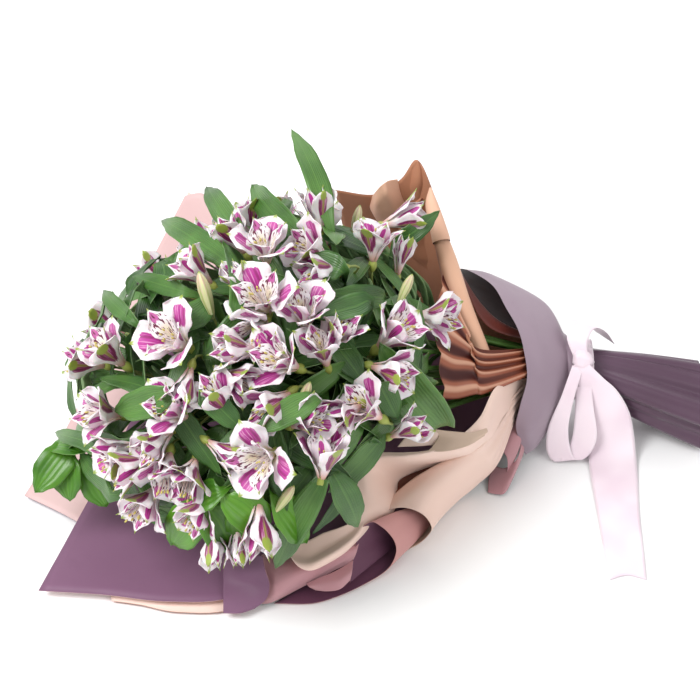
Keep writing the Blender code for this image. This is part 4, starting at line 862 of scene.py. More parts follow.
# The wall's face is the peach side painted darker for shade, and its other side is painted near-black wine
# for shade
copper_film("copper_wall_film", wall_grid, FILM_PEACH_SHADE, FILM_WINE_SHADE, "gathered")
copper_film("copper_curl_film", smooth_grid(seen_net(COPPER_CURL), 41, 41), FILM_CURL, FILM_PALE_PEACH)
copper_film("copper_peak_film", smooth_grid(seen_net(COPPER_PEAK), 41, 25), FILM_PEAK, FILM_PEACH_SHADE)
copper_film("copper_panel_film", smooth_grid(seen_net(COPPER_PANEL), 61, 25), FILM_PANEL, FILM_PEACH_SHADE)
column_top = rolled(COLUMN_TOP, COLUMN_TOP_RADII, 41)
# The insides of both rolls are painted near-black wine for shade
copper_film("column_top_film", column_top, FILM_PALE_PEACH, FILM_WINE_SHADE, turned=True)
copper_film("column_film", rolled(COLUMN, COLUMN_RADII, 61), FILM_COLUMN_SHADED, FILM_WINE_SHADE, turned=True)

# %% [markdown]
# ### Inner pleats
#
# Beside the stems the copper film is drawn into sharp pleats. A sine wave would look soft there, so the
# surface is folded by the absolute value of a sine, and the same wave paints light on the ridges and shade in
# the gaps.

# %% Inner pleats beside the stems
INNER = (
    ((87, 74, 150), (82, 54, 150), (79, 29, 146), (80, 5, 138), (83, -18, 128), (85, -44, 112)),
    ((93, 58, 142), (93, 40, 140), (92, 18, 135), (93, -3, 127), (94, -22, 118), (98, -44, 107)),
    ((103, 29, 128), (106, 16, 125), (108, 4, 121), (110, -8, 116), (112, -22, 110), (114, -40, 103)),
    ((118, 2, 116), (120, -5, 115), (122, -11, 112), (123, -18, 108), (125, -27, 104), (127, -38, 99)),
)
INNER_NECK = (2, 12, 22, 31, 40, 49)
INNER_NECK_RADIUS = 17.6
PLEATS = 4
PLEAT_DEPTH = 2.6
PLEAT_TURN = 0.9


def ridge(across, along):
    """Sharp pleats along a film, which get shallower towards its gathered end."""
    wave = 1 - 2 * abs(math.sin(math.pi * PLEATS * across + PLEAT_TURN))
    return PLEAT_DEPTH * wave * (1 - 0.3 * along)


def pleat_light_and_shade_finish():
    """Copper film with painted light on its ridges, painted shade in its deep wine-red gaps, and darker
    towards its gathered end.
    """
    finish = Finish("film_pleats_painted_light_and_shade", roughness=0.42, Specular_IOR_Level=0.4)
    _, along, across = finish.blade()
    marks = finish.noise(finish.place((1, 1, 2.5)), 55, 3)
    turn = finish.sum("ADD", finish.times(across, math.pi * PLEATS), PLEAT_TURN)
    wave = finish.sum("ABSOLUTE", finish.sum("SINE", turn))
    # Painted light makes the ridges pale and painted shade makes the gaps near black; the film also darkens
    # towards its gathered end
    colour = finish.mix(finish.step(wave, 0.10, 0.45), (0.62, 0.33, 0.22), (0.34, 0.105, 0.055))
    colour = finish.mix(finish.step(wave, 0.55, 0.95), colour, (0.055, 0.006, 0.004))
    colour = finish.mix(finish.times(finish.step(along, 0.45, 0.85), 0.55), colour, (0.30, 0.085, 0.045))
    finish.bump(marks, 0.15, 0.0008)
    return finish.done(colour, finish.sum("ADD", finish.times(marks, 0.2), 0.32))


inner = [*seen_net(INNER), *[neck_row(x, INNER_NECK_RADIUS, INNER_NECK) for x in NECK_PLACES[1:]]]
inner_grid = waved(smooth_grid(inner, 71, 81), ridge)
film_piece(
    "copper_inner_film", inner_grid, pleat_light_and_shade_finish(), FILM_PEACH_SHADE, "wrap_copper_inner", "film_copper",
    "gathered", ["copper_wall_film"],
)

# %% [markdown]
# ### The near film
#
# On the near side the cream side faces out. The film's edge runs in deep waves along the flowers and rolls
# over at its free end. A second fold curls open below it, a loose lip curls over at the top, and the copper
# side shows in the valley between them.

# %% Near film: edge, lower fold, curled lip and valley
NEAR_EDGE = (
    ((-57, -181, 42), (-57, -182, 42), (-56, -184, 41), (-55, -186, 39), (-54, -186, 35)),
    ((-49, -177, 44), (-49, -186, 40), (-49, -192, 43), (-46, -197, 38), (-42, -194, 30)),
    ((-36, -172, 46), (-37, -187, 40), (-37, -194, 44), (-35, -200, 38), (-32, -195, 29)),
    ((-24, -166, 48), (-25, -181, 41), (-24, -189, 46), (-21, -194, 38), (-17, -190, 29)),
    ((-9, -161, 50), (-11, -173, 43), (-9, -180, 47), (-5, -184, 40), (-2, -180, 31)),
    ((3, -155, 52), (3, -163, 46), (5, -169, 47), (8, -171, 41), (12, -168, 32)),
    ((10, -144, 56), (15, -149, 52), (18, -152, 48), (22, -155, 42), (25, -156, 34)),
    ((11, -133, 60), (18, -137, 56), (25, -142, 50), (33, -146, 42), (38, -149, 34)),
    ((5, -119, 66), (15, -123, 64), (25, -128, 56), (36, -133, 45), (43, -137, 36)),
    ((3, -108, 72), (14, -111, 71), (25, -115, 62), (36, -121, 48), (43, -125, 38)),
    ((13, -98, 79), (19, -103, 77), (27, -107, 68), (37, -113, 54), (45, -118, 43)),
    ((26, -93, 83), (31, -98, 81), (37, -103, 72), (47, -108, 58), (56, -112, 46)),
    ((47, -93, 87), (50, -97, 86), (56, -101, 78), (67, -103, 64), (76, -105, 52)),
    ((71, -91, 90), (74, -93, 90), (80, -97, 82), (89, -99, 69), (96, -100, 58)),
    ((94, -82, 95), (97, -85, 94), (103, -90, 87), (109, -93, 75), (114, -93, 64)),
    ((117, -62, 99), (119, -67, 98), (122, -74, 92), (124, -79, 81), (127, -83, 71)),
    ((133, -33, 99), (134, -39, 97), (136, -45, 91), (138, -53, 83), (140, -59, 76)),
)
NEAR_FOLD = (
    ((19, -152, 30), (32, -146, 39), (47, -143, 44), (60, -146, 44), (69, -152, 38), (74, -161, 28),
     (71, -168, 19), (62, -176, 9), (45, -185, 4)),
    ((38, -133, 40), (48, -128, 47), (60, -127, 53), (72, -131, 51), (81, -137, 42), (86, -144, 29),
     (84, -151, 18), (78, -156, 9), (67, -164, 4)),
    ((60, -115, 50), (70, -110, 58), (83, -109, 62), (93, -113, 59), (101, -120, 47), (103, -127, 33),
     (101, -134, 20), (94, -140, 10), (85, -146, 4)),
    ((84, -102, 60), (95, -96, 67), (105, -96, 70), (113, -100, 65), (118, -106, 52), (121, -113, 37),
     (118, -120, 23), (112, -125, 12), (105, -130, 5)),
    ((109, -89, 68), (118, -83, 74), (124, -83, 75), (129, -87, 66), (133, -92, 57), (134, -95, 48),
     (135, -99, 40), (135, -101, 33), (134, -102, 28)),
)
NEAR_LIP = (
    ((70, -92, 90), (75, -87, 93), (80, -78, 98), (76, -72, 104), (65, -74, 100), (51, -79, 94),
     (43, -88, 88)),
    ((87, -92, 92), (92, -87, 95), (95, -80, 99), (92, -74, 103), (83, -76, 100), (74, -81, 95),
     (67, -87, 90)),
    ((107, -87, 95), (110, -83, 97), (113, -79, 99), (111, -75, 101), (106, -76, 99), (100, -80, 96),
     (96, -84, 93)),
    ((122, -78, 97), (123, -76, 98), (125, -74, 99), (124, -71, 100), (122, -72, 99), (118, -74, 97),
     (116, -76, 96)),
)
COPPER_VALLEY = (
    ((27, -123, 44), (34, -116, 42), (44, -109, 44)),
    ((38, -129, 40), (47, -120, 34), (56, -107, 40)),
    ((51, -127, 40), (60, -116, 34), (71, -104, 42)),
    ((69, -116, 46), (76, -109, 44), (85, -102, 50)),
)
CREAM_NECK = (62, 84, 106)
CREAM_NECK_RADIUS = 20
FOLD_NECK = (70, 76, 82, 88, 93, 98, 102, 105, 108)
FOLD_NECK_RADII = (21.4, 21.4, 20)


def near_film(name, grid, front, back, held, rests_on):
    """A film that belongs to the near cream film."""
    film_piece(name, grid, front, back, "wrap_cream_near", "film_cream", held, rests_on)


edge = [*seen_net(NEAR_EDGE), *[neck_row(x, CREAM_NECK_RADIUS, CREAM_NECK) for x in NECK_PLACES]]
edge_grid = smooth_grid(edge, 151, 33)
near_film("near_film_edge", edge_grid, FILM_CREAM, FILM_COPPER, "gathered", ["near_film_fold"])
fold = seen_net(NEAR_FOLD)
fold += [neck_row(x, radius, FOLD_NECK) for x, radius in zip(NECK_PLACES, FOLD_NECK_RADII)]
fold_grid = waved(smooth_grid(fold, 91, 73), pleats(5, 1.5, 0.3))
near_film("near_film_fold", fold_grid, FILM_CREAM, FILM_BEIGE, "gathered", ["cream_base_sheet"])
lip = smooth_grid(seen_net(NEAR_LIP), 41, 49)
near_film("near_film_lip", lip, FILM_CREAM, FILM_BEIGE, "folded", ["near_film_edge"])
valley = smooth_grid(seen_net(COPPER_VALLEY), 31, 25)
near_film("near_film_valley", valley, FILM_VALLEY, FILM_VALLEY, "folded", ["near_film_fold"])

# %% [markdown]
# ### The plum sheet's front
#
# The plum sheet ends at the front in a flat flap, a low pink roll and a wide open scroll, with its pink
# side out. A hem of it shows again beside the collar.

# %% Scroll, roll, tongue, flap and hem
PLUM_SCROLL = (
    ((0, -211, 9), (2, -191, 22), (5, -177, 34), (9, -164, 44), (15, -158, 50), (21, -156, 50),
     (28, -160, 46), (34, -165, 40), (40, -173, 31), (42, -182, 21), (39, -192, 12), (32, -201, 6),
     (16, -211, 3), (-7, -222, 2), (-34, -230, 1.5), (-69, -230, 1.5)),
    ((26, -190, 9), (28, -174, 19), (30, -164, 28), (33, -154, 36), (38, -149, 41), (42, -147, 41),
     (48, -150, 38), (53, -154, 33), (57, -161, 26), (59, -168, 18), (57, -176, 11), (51, -182, 7),
     (39, -191, 4.18), (21, -199, 3.4), (-1, -205, 3.01), (-28, -205, 3.01)),
    ((54, -168, 8), (54, -158, 15), (56, -151, 21), (58, -145, 26), (61, -142, 29), (64, -141, 29),
     (68, -142, 27), (71, -145, 24), (74, -149, 20), (74, -154, 14), (73, -159, 10), (69, -163, 7),
     (62, -168, 6), (50, -174, 5), (36, -177, 4.75), (19, -177, 4.75)),
)
PINK_ROLL = (
    ((-86, -230, 2), (-80, -221, 9), (-78, -212, 17), (-80, -200, 25), (-83, -189, 29), (-74, -183, 24)),
    ((-71, -229, 4), (-64, -220, 15), (-61, -209, 25), (-58, -197, 30), (-54, -187, 29), (-47, -182, 23)),
    ((-45, -216, 8), (-40, -208, 19), (-36, -199, 28), (-33, -191, 31), (-28, -182, 29), (-23, -178, 22)),
    ((-20, -203, 13), (-15, -196, 23), (-12, -188, 30), (-9, -181, 32), (-5, -173, 29), (0, -170, 22)),
    ((2, -192, 20), (5, -186, 27), (7, -180, 32), (9, -173, 33), (12, -168, 30), (15, -164, 24)),
)
PINK_TONGUE = (
    ((-40, -212, 13), (-26, -206, 18), (-12, -200, 22), (3, -191, 27)),
    ((-37, -215, 13), (-24, -212, 17), (-10, -209, 21), (2, -201, 25)),
    ((-31, -218, 10), (-20, -219, 13), (-9, -217, 15), (0, -209, 18)),
)
PLUM_FLAP = (
    ((-115, -239, 8), (-115, -227, 11), (-115, -213, 13), (-115, -201, 16), (-115, -189, 20)),
    ((-100, -239, 8), (-95, -228, 12), (-93, -213, 18), (-95, -200, 27), (-93, -185, 33)),
    ((-87, -235, 6), (-76, -226, 13), (-73, -213, 24), (-77, -199, 36), (-79, -187, 42)),
)
HEM_ROLL = (
    ((123, -99, 14), (125, -93, 20), (131, -89, 25), (137, -91, 27), (142, -97, 24), (143, -105, 18),
     (142, -113, 11)),
    ((132, -87, 20), (133, -80, 26), (139, -76, 31), (145, -79, 33), (149, -85, 30), (151, -93, 24),
     (149, -101, 17)),
    ((141, -73, 26), (142, -65, 32), (147, -62, 37), (152, -64, 39), (155, -71, 36), (156, -79, 30),
     (155, -86, 23)),
)
HEM_TONGUE = (
    ((125, -129, 1.5), (126, -116, 5), (131, -105, 9)),
    ((134, -131, 2), (136, -118, 8), (141, -107, 13)),
    ((142, -128, 4), (148, -113, 14), (152, -98, 20)),
    ((154, -103, 10), (158, -91, 18), (157, -78, 26)),
)
HEM_LEAF = (
    ((98, -129, 1.5), (103, -118, 6), (113, -109, 9)),
    ((109, -125, 1.5), (115, -114, 5), (123, -104, 10)),
    ((124, -107, 5), (128, -103, 9), (130, -98, 14)),
)


def plum_film(name, net, rows, columns, finishes, node, turned=False):
    """A film that belongs to the front of the plum sheet."""
    grid = smooth_grid(seen_net(net), rows, columns)
    film_piece(name, grid, *finishes, node, "film_plum", "folded", ["cream_base_sheet"], turned)


# The scroll's inside is the plum side painted darker for shade
plum_film("plum_scroll_film", PLUM_SCROLL, 41, 121, (FILM_PLUM_SHADE, FILM_SALMON), "wrap_plum_scroll", True)
plum_film("pink_tongue_film", PINK_TONGUE, 25, 33, (FILM_ROSE, FILM_PLUM), "wrap_plum_scroll", True)
plum_film("pink_roll_film", PINK_ROLL, 49, 41, (FILM_ROSE, FILM_PLUM), "wrap_plum_roll", True)
plum_film("plum_flap_film", PLUM_FLAP, 31, 41, (FILM_PLUM, FILM_ROSE), "wrap_plum_flap", True)
# The hem roll's inside is painted near black for shade
plum_film("plum_hem_film", HEM_ROLL, 31, 49, (FILM_ROSE, FILM_BLACK_SHADE), "wrap_plum_hem")
plum_film("plum_hem_tongue", HEM_TONGUE, 31, 21, (FILM_PLUM_SHADE, FILM_ROSE), "wrap_plum_hem")
plum_film("plum_hem_leaf", HEM_LEAF, 21, 17, (FILM_MAUVE, FILM_PLUM_DARK_SHADE), "wrap_plum_hem")

# %% [markdown]
# ### The collar
#
# A grey-mauve band of film goes round the whole neck and opens towards the flowers like a cuff. It is one
# ring of places at its mouth, two further in, and two at the tie, with a closed smooth line through each
# ring.

# %% Collar
COLLAR = (
    (
        (181, 160, 124), (204, 132, 129), (216, 104, 124), (226, 88, 113), (231, 72, 101),
        (233, 51, 87.5), (227, 37, 66.5), (225, 34, 41), (236, 33, 9), (236, 62, 5),
        (234, 100, 5), (226, 146, 8), (212, 180, 26), (194, 192, 60), (178, 186, 96),
    ),
    (
        (205, 158, 120), (224, 132, 121), (236, 106, 116), (244, 88, 106), (249, 72, 93),
        (250, 56, 76), (246, 41, 59.5), (240, 34.5, 40), (246, 38, 14), (246, 64, 9),
        (246, 100, 9), (242, 138, 12), (232, 164, 30), (218, 172, 58), (205, 172, 92),
    ),
    (
        (242, 144, 104), (256, 134, 104), (264, 112, 99), (268, 96, 92), (270, 82, 82),
        (270, 70, 68), (267, 61, 51), (262, 57, 34), (262, 64, 19), (262, 82, 15),
        (263, 104, 15), (262, 124, 21), (256, 138, 38), (248, 147, 60), (242, 149, 84),
    ),
)
COLLAR_ANGLES = (-20, 4, 28, 52, 76, 100, 124, 148, 172, 196, 220, 244, 268, 292, 316)
# Where the collar is tied: how far along, and how wide
COLLAR_NECK_RINGS = ((277, 25.8), (292, 26.5))


def ringed(rings, rows, around):
    """A smooth sleeve through rings of places."""
    full = [closed_line([Vector(place) for place in ring], around) for ring in rings]
    columns = [smooth_line(list(column), rows) for column in zip(*full)]
    return [list(row) for row in zip(*columns)]


collar_rings = [*COLLAR, *[neck_row(x, radius, COLLAR_ANGLES) for x, radius in COLLAR_NECK_RINGS]]
collar_grid = ringed(collar_rings, 61, 169)
# The collar's inside is painted near black for shade
film_piece(
    "mauve_collar_film", collar_grid, FILM_MAUVE, FILM_BLACK_SHADE, "wrap_collar", "film_mauve",
    "gathered", ["near_film_fold", "copper_wall_film"],
)

# %% [markdown]
# ### The film past the tie
#
# Past the ribbon the films open again as a short skirt round the cut stems, painted a much darker plum for
# the shade on it, pleated by the tie and flattened by its own weight.

# %% Tail film
# Rings of the skirt: how far along, how wide, how deep its pleats are and how flat it lies
TAIL_RINGS = (
    (284, 21, 0.3, 1),
    (298, 21.8, 0.8, 1),
    (314, 25, 2, 0.96),
    (355, 34, 4.3, 0.85),
    (402, 42, 7, 0.76),
)
TAIL_ROWS = 41
TAIL_SIDES = 144
TAIL_LOWEST = 2


def tail_ring(x, radius, wave, flat):
    """One ring of the skirt past the tie, with five broad pleats and thirteen fine ones."""
    ring = []
    for k in range(TAIL_SIDES + 1):
        turn = math.tau * k / TAIL_SIDES
        reach = radius + wave * math.cos(5 * turn + 0.8) + 0.32 * wave * math.cos(13 * turn + 2.0)
        centre = neck_point(x, 0, 0)
        high = max(centre.z + reach * math.cos(turn) * flat, TAIL_LOWEST) - centre.z
        ring.append(Vector((x, centre.y - reach * math.sin(turn), centre.z + high)))
    return ring


tail_sizes = smooth_line([Vector(row[:3]) for row in TAIL_RINGS], TAIL_ROWS)
flats = smooth_line([Vector((row[3], 0, 0)) for row in TAIL_RINGS], TAIL_ROWS)
tail_grid = [tail_ring(*size, flat.x) for size, flat in zip(tail_sizes, flats)]
# The skirt's face is the plum side painted much darker for shade
film_piece(
    "plum_tail_film", tail_grid, FILM_PLUM_DARK_SHADE, FILM_PLUM, "wrap_tail", "film_plum",
    "gathered", ["mauve_collar_film"],
)

# %% [markdown]
# ## The ribbon
#
# The ribbon is pale pink satin, about 40 mm wide. It goes round the tie, makes one knot and one loop, and
# its long end falls to the table. Satin shines across its warp, so its finish is smooth, lightly
# anisotropic, with a very fine weave and a denser woven edge.


# %% Satin
def satin():
    """Pale pink satin with a woven edge."""
    finish = Finish("satin_ribbon", roughness=0.30, Sheen_Weight=0.5, Anisotropic=0.5, Specular_IOR_Level=0.6)
    edge, along, across = finish.blade()
    weave = finish.sum("SINE", finish.times(across, 420))
    weft = finish.sum("SINE", finish.times(along, 1500))
    drift = finish.noise(finish.place(), 18, 2)
    colour = finish.mix(finish.step(drift, 0.35, 0.7), (0.86, 0.74, 0.80), (0.78, 0.63, 0.71))
    colour = finish.mix(finish.times(finish.step(edge, 0.93, 0.97), 0.5), colour, (0.9, 0.84, 0.87))
    finish.bump(finish.times(weave, weft), 0.12, 0.0002)
    return finish.done(colour, finish.sum("ADD", finish.times(drift, 0.12), 0.24))


SATIN = satin()

# %% Ribbon: band, knot, loop and ends
RIBBON_TAIL = (
    ((277, 72, 84), (284, 71, 87), (291, 71, 86)),
    ((280, 65, 72), (292, 64, 76), (304, 65, 75)),
    ((286, 61, 54), (302, 59, 60), (318, 61, 62)),
    ((292, 54, 34), (311, 52, 40), (330, 55, 42)),
    ((294, 46, 14), (315, 45, 19), (336, 49, 20)),
    ((294, 30, 3), (316, 30, 5), (338, 34, 5)),
    ((294, 8, 1), (316, 8, 1.4), (337, 9, 1)),
    ((295, -32, 1), (314, -32, 1.6), (333, -32, 1)),
    ((296, -74, 1), (313, -74, 1), (331, -74, 1)),
    ((297, -109, 1), (313, -104, 1), (329, -109, 1)),
)
RIBBON_LOOP = (
    ((276, 72, 84), (286, 70, 84)),
    ((266, 54, 62), (278, 54, 60)),
    ((256, 46, 30), (274, 42, 30)),
    ((256, 36, 8), (280, 30, 8)),
    ((266, 30, 3), (292, 30, 9)),
    ((278, 42, 20), (300, 38, 26)),
    ((280, 56, 48), (296, 54, 52)),
    ((280, 70, 80), (292, 68, 80)),
)
RIBBON_UPPER = (
    ((277, 80, 88), (290, 80, 88)),
    ((271, 88, 103), (290, 88, 100)),
    ((275, 102, 110), (298, 100, 104)),
    ((289, 116, 100), (310, 108, 92)),
    ((302, 124, 80), (320, 112, 74)),
)
KNOT_LINE = ((277, 79, 86), (282, 78.3, 86), (288, 77.3, 84.8), (294, 78, 81))
KNOT_RADII = (4, 7.5, 8.2, 8, 7, 4)
BAND_RINGS = ((279.5, 30.6), (287, 29.4), (297, 30))
BAND_SIDES = 96


def band_creases(across, along):
    """Slanting creases round the band."""
    return 0.5 * math.sin(math.tau * (9 * across + 0.7 * along))


def band_surface():
    """The band round the tie."""
    rings = []
    for x, radius in BAND_RINGS:
        rings.append([neck_point(x, 360 * k / BAND_SIDES, radius) for k in range(BAND_SIDES + 1)])
    columns = [smooth_line(list(column), 9) for column in zip(*rings)]
    return waved([list(row) for row in zip(*columns)], band_creases)


ribbon_bm = bmesh.new()
ribbon_parts = [band_surface()]
for net, rows, columns in ((RIBBON_TAIL, 91, 13), (RIBBON_LOOP, 61, 11), (RIBBON_UPPER, 41, 11)):
    ribbon_parts.append(smooth_grid(net, rows, columns))
ribbon_area = 0.0
for part in ribbon_parts:
    surface(ribbon_bm, part)
    ribbon_area += sizes(part)[2]
tube(ribbon_bm, smooth_line([Vector(place) for place in KNOT_LINE], 15), KNOT_RADII, 28, ribs=(5, 0.09))
ribbon = make_piece("satin_ribbon", ribbon_bm, [SATIN, SATIN], ["ribbon"], "ribbon", 0.3)

# %% [markdown]
# ## The flowers and their leaves
#
# Each bloom was placed along a sight line: the stem that carries it, where it is seen, how far it
# stands out of the dome, where it faces and how open it is. Stems of one bouquet end in an umbel, where
# four or five flower stalks spring from one point under a whorl of small leaves.

# %% The layout of the blooms
# One row for each bloom: its stem, how far across and up it is seen, how far it stands out of the dome, the
# way its mouth points as seen (0 right, 90 up), how much it turns to the viewer, how open it is and its
# size
BLOOMS = (
    ("stem_01", -213, -5, 4, 135, 20, 0.60, 1.0),
    ("stem_01", -236, -12, 0, 172, 12, 0.50, 0.9),
    ("stem_01", -220, -58, 2, 170, 30, 0.72, 1.0),
    ("stem_01", -204, -90, 4, 205, 20, 0.60, 1.0),
    ("stem_02", -154, 5, 8, 150, 48, 0.90, 1.12),
    ("stem_02", -156, -56, 6, 150, 42, 0.72, 1.0),
    ("stem_02", -172, -82, 2, 222, 25, 0.50, 0.95),
    ("stem_02", -144, -31, 10, 260, 15, 0.30, 0.9),
    ("stem_03", -187, -102, 8, 200, 10, 0.50, 1.0),
    ("stem_03", -163, -105, 6, 268, 30, 0.70, 1.0),
    ("stem_03", -180, -134, 4, 240, 20, 0.65, 1.0),
    ("stem_03", -144, -110, 4, 250, 30, 0.60, 0.95),
    ("stem_04", -116, -48, 6, 125, 20, 0.45, 1.0),
    ("stem_04", -105, -26, 4, -30, 20, 0.40, 0.9),
    ("stem_04", -97, -3, 8, 180, 12, 0.45, 1.0),
    ("stem_04", -118, -90, 2, -30, 15, 0.20, 0.9),
    ("stem_05", -136, 66, 4, 145, 15, 0.50, 0.95),
    ("stem_05", -97, 56, 4, 130, 20, 0.25, 0.85),
    ("stem_05", -103, 100, 0, 130, 10, 0.40, 0.95),
    ("stem_06", -77, 86, 6, 100, 40, 0.80, 1.0),
    ("stem_06", -79, 39, 8, 120, 52, 0.80, 1.08),
    ("stem_06", -83, 16, 6, 240, 42, 0.70, 1.0),
    ("stem_07", -30, 118, 4, 102, 10, 0.35, 1.0),
    ("stem_07", -34, 84, 6, 160, 25, 0.60, 1.0),
    ("stem_07", -25, 66, 8, 200, 15, 0.50, 0.95),
    ("stem_08", 42, 115, 4, 10, 10, 0.35, 1.05),
    ("stem_08", 19, 89, 6, 90, 15, 0.60, 0.95),
    ("stem_08", 44, 79, 2, 88, 10, 0.15, 0.85),
    ("stem_09", -43, 27, 8, 100, 35, 0.70, 1.0),
    ("stem_09", -62, -14, 12, 160, 35, 0.75, 1.12),
    ("stem_09", -26, -4, 6, 110, 30, 0.50, 0.95),
    ("stem_09", -14, 11, 4, 60, 30, 0.50, 0.9),
    ("stem_10", 31, 9, 10, 45, 25, 0.70, 1.12),
    ("stem_10", 71, 28, 4, -15, 20, 0.60, 1.0),
    ("stem_10", 28, -20, 8, -20, 20, 0.50, 0.95),
    ("stem_11", 12, -54, 8, 150, 20, 0.70, 1.0),
    ("stem_11", -5, -56, 6, 205, 15, 0.50, 0.9),
    ("stem_11", 47, -73, 2, 30, 20, 0.40, 0.85),
    ("stem_12", -78, -95, 12, 200, 55, 0.90, 1.12),
    ("stem_12", -68, -48, 8, 215, 15, 0.45, 1.0),
    ("stem_12", -43, -65, 6, 20, 30, 0.50, 0.9),
    ("stem_13", -28, -97, 12, 88, 15, 0.45, 1.15),
    ("stem_13", -83, -147, 14, 270, 10, 0.30, 1.15),
    ("stem_14", -120, -163, 10, 285, 5, 0.25, 0.95),
    ("stem_14", -102, -165, 8, 275, 5, 0.15, 0.8),
    ("stem_14", -133, -140, 6, 245, 20, 0.60, 0.9),
)
# Yellow-green buds, with the same columns
BUDS = (
    ("stem_05", -128, 45, 10, 105, 10, 0.0, 0.85),
    ("stem_09", -43, -42, 8, 70, 20, 0.0, 0.62),
    ("stem_08", 5, 116, 2, 80, 10, 0.0, 0.62),
    ("stem_13", -60, -129, 10, 60, 10, 0.0, 0.62),
    ("stem_10", 46, 52, 6, 70, 10, 0.0, 0.62),
)
# Blooms on the far side: stem, bearing and rise on the dome, how near its surface they stand, how open they
# are
FAR_BLOOMS = (
    ("stem_15", 62, 14, 0.95, 0.6),
    ("stem_15", 84, 34, 0.95, 0.7),
    ("stem_15", 60, 48, 0.92, 0.5),
    ("stem_16", 112, 14, 0.95, 0.7),
    ("stem_16", 118, 38, 0.85, 0.6),
    ("stem_16", 138, 22, 0.85, 0.5),
    ("stem_07", 100, 56, 0.9, 0.6),
    ("stem_05", 135, 26, 0.76, 0.6),
    ("stem_01", 160, 10, 0.9, 0.6),
)
print(len(BLOOMS), "blooms,", len(BUDS), "buds and", len(FAR_BLOOMS), "far blooms")

# %% [markdown]
# ### Umbels and stems
#
# The flowers of one stem decide where it ends: behind them, towards the core of the head. From there each
# stem runs to a slot in the tie. Straight lines would meet in a cone, so the stems keep nearly level by the
# tie and spread later, and the slots are swapped until no two stems cross.


# %% Flowers by stem
# How much a bloom also leans out of the dome, and how the far ones lean away from the tie
OUTWARD_LEAN = 0.25
FAR_LEAN = Vector((-0.5, 0, 0.1))


def flowers_by_stem():
    """Every bloom and bud with its place, axis, openness and size, by stem."""
    carried = {}
    for opened, rows in ((True, BLOOMS), (False, BUDS)):
        for stem, across, up, lift, heading, toward, openness, size in rows:
            place, outward = on_head(across, up, lift)
            turn = math.radians(heading)
            face = math.radians(toward)
            seen_way = math.cos(turn) * RIGHT + math.sin(turn) * UPWARD
            axis = math.cos(face) * seen_way - math.sin(face) * FORWARD
            axis = (axis + OUTWARD_LEAN * outward).normalized()
            carried.setdefault(stem, []).append((opened, place, axis, openness, size))
    for stem, bearing, rise, depth, openness in FAR_BLOOMS:
        turn = math.radians(bearing)
        high = math.radians(rise)
        unit = Vector((math.cos(high) * math.cos(turn), math.cos(high) * math.sin(turn), math.sin(high)))
        place = HEAD_CENTRE + Vector(unit[k] * HEAD_RADII[k] for k in range(3)) * depth
        axis = (unit + FAR_LEAN).normalized()
        carried.setdefault(stem, []).append((True, place, axis, openness, 1.0))
    return carried


FLOWERS = flowers_by_stem()
STEMS = sorted(FLOWERS)
print(len(STEMS), "stems carry", sum(len(flowers) for flowers in FLOWERS.values()), "blooms and buds")

# %% Umbels, slots in the tie and the way of each stem
PEDICEL_REACH = 20
UMBEL_DEPTH = 40
LOWEST_UMBEL = 20
STEM_SPACING = 6.2
LEAST_GAIN = 1e-9
# How far from the tie the stems reach their full slope, and how slowly they do
GATHER_LENGTH = 260
GATHER_POWER = 0.55
STEM_SHARES = (1, 0.85, 0.7, 0.55, 0.4, 0.27, 0.15, 0.06)


def umbel_of(flowers):
    """Where a stem's flower stalks spring from: behind its flowers, towards the core of the head."""
    backs = (place - axis * PEDICEL_REACH for _, place, axis, _, _ in flowers)
    middle = sum(backs, Vector()) / len(flowers)
    umbel = middle + (HEAD_CORE - middle).normalized() * UMBEL_DEPTH
    umbel.z = max(umbel.z, LOWEST_UMBEL)
    return umbel


def gather(distance):
    """How far a stem of slope 1 stands from its slot in the tie, at a distance from it."""
    return distance * (distance / GATHER_LENGTH) ** GATHER_POWER


def slots():
    """Places in the bundle at the tie: one in the middle, six round it and twelve round those."""
    places = [(0.0, 0.0)]
    for ring, count in ((1, 6), (2, 12)):
        for k in range(count):
            turn = math.tau * (k + 0.5 * (ring == 2)) / count
            reach = ring * STEM_SPACING
            places.append((reach * math.cos(turn), reach * math.sin(turn)))
    return places


def matched_slots(slopes):
    """A slot for each stem, so that straight stems never cross: pairs are swapped while that helps."""
    free = slots()
    order = list(range(len(free)))
    wanted = slopes + [None] * (len(free) - len(slopes))
    swapped = True
    while swapped:
        swapped = False
        for i in range(len(free)):
            for j in range(i + 1, len(free)):
                change = 0.0
                for a, b in ((i, j), (j, i)):
                    if wanted[a]:
                        for k in range(2):
                            change += wanted[a][k] * (free[order[a]][k] - free[order[b]][k])
                if change < -LEAST_GAIN:
                    order[i], order[j] = order[j], order[i]
                    swapped = True
    return [free[order[k]] for k in range(len(slopes))]


def stem_line(umbel, slot):
    """A stem from its umbel down to its slot in the tie, and on to its cut end."""
    shift = Vector((0, slot[0], slot[1]))
    tie = NECK + shift
    reach = tie.x - umbel.x
    slope = (umbel - tie) / gather(reach)
    line = []
    for share in STEM_SHARES:
        rise = slope * gather(reach * share)
        line.append(Vector((tie.x - reach * share, tie.y + rise.y, tie.z + rise.z)))
    return [*line, tie, TAIL_END + shift]


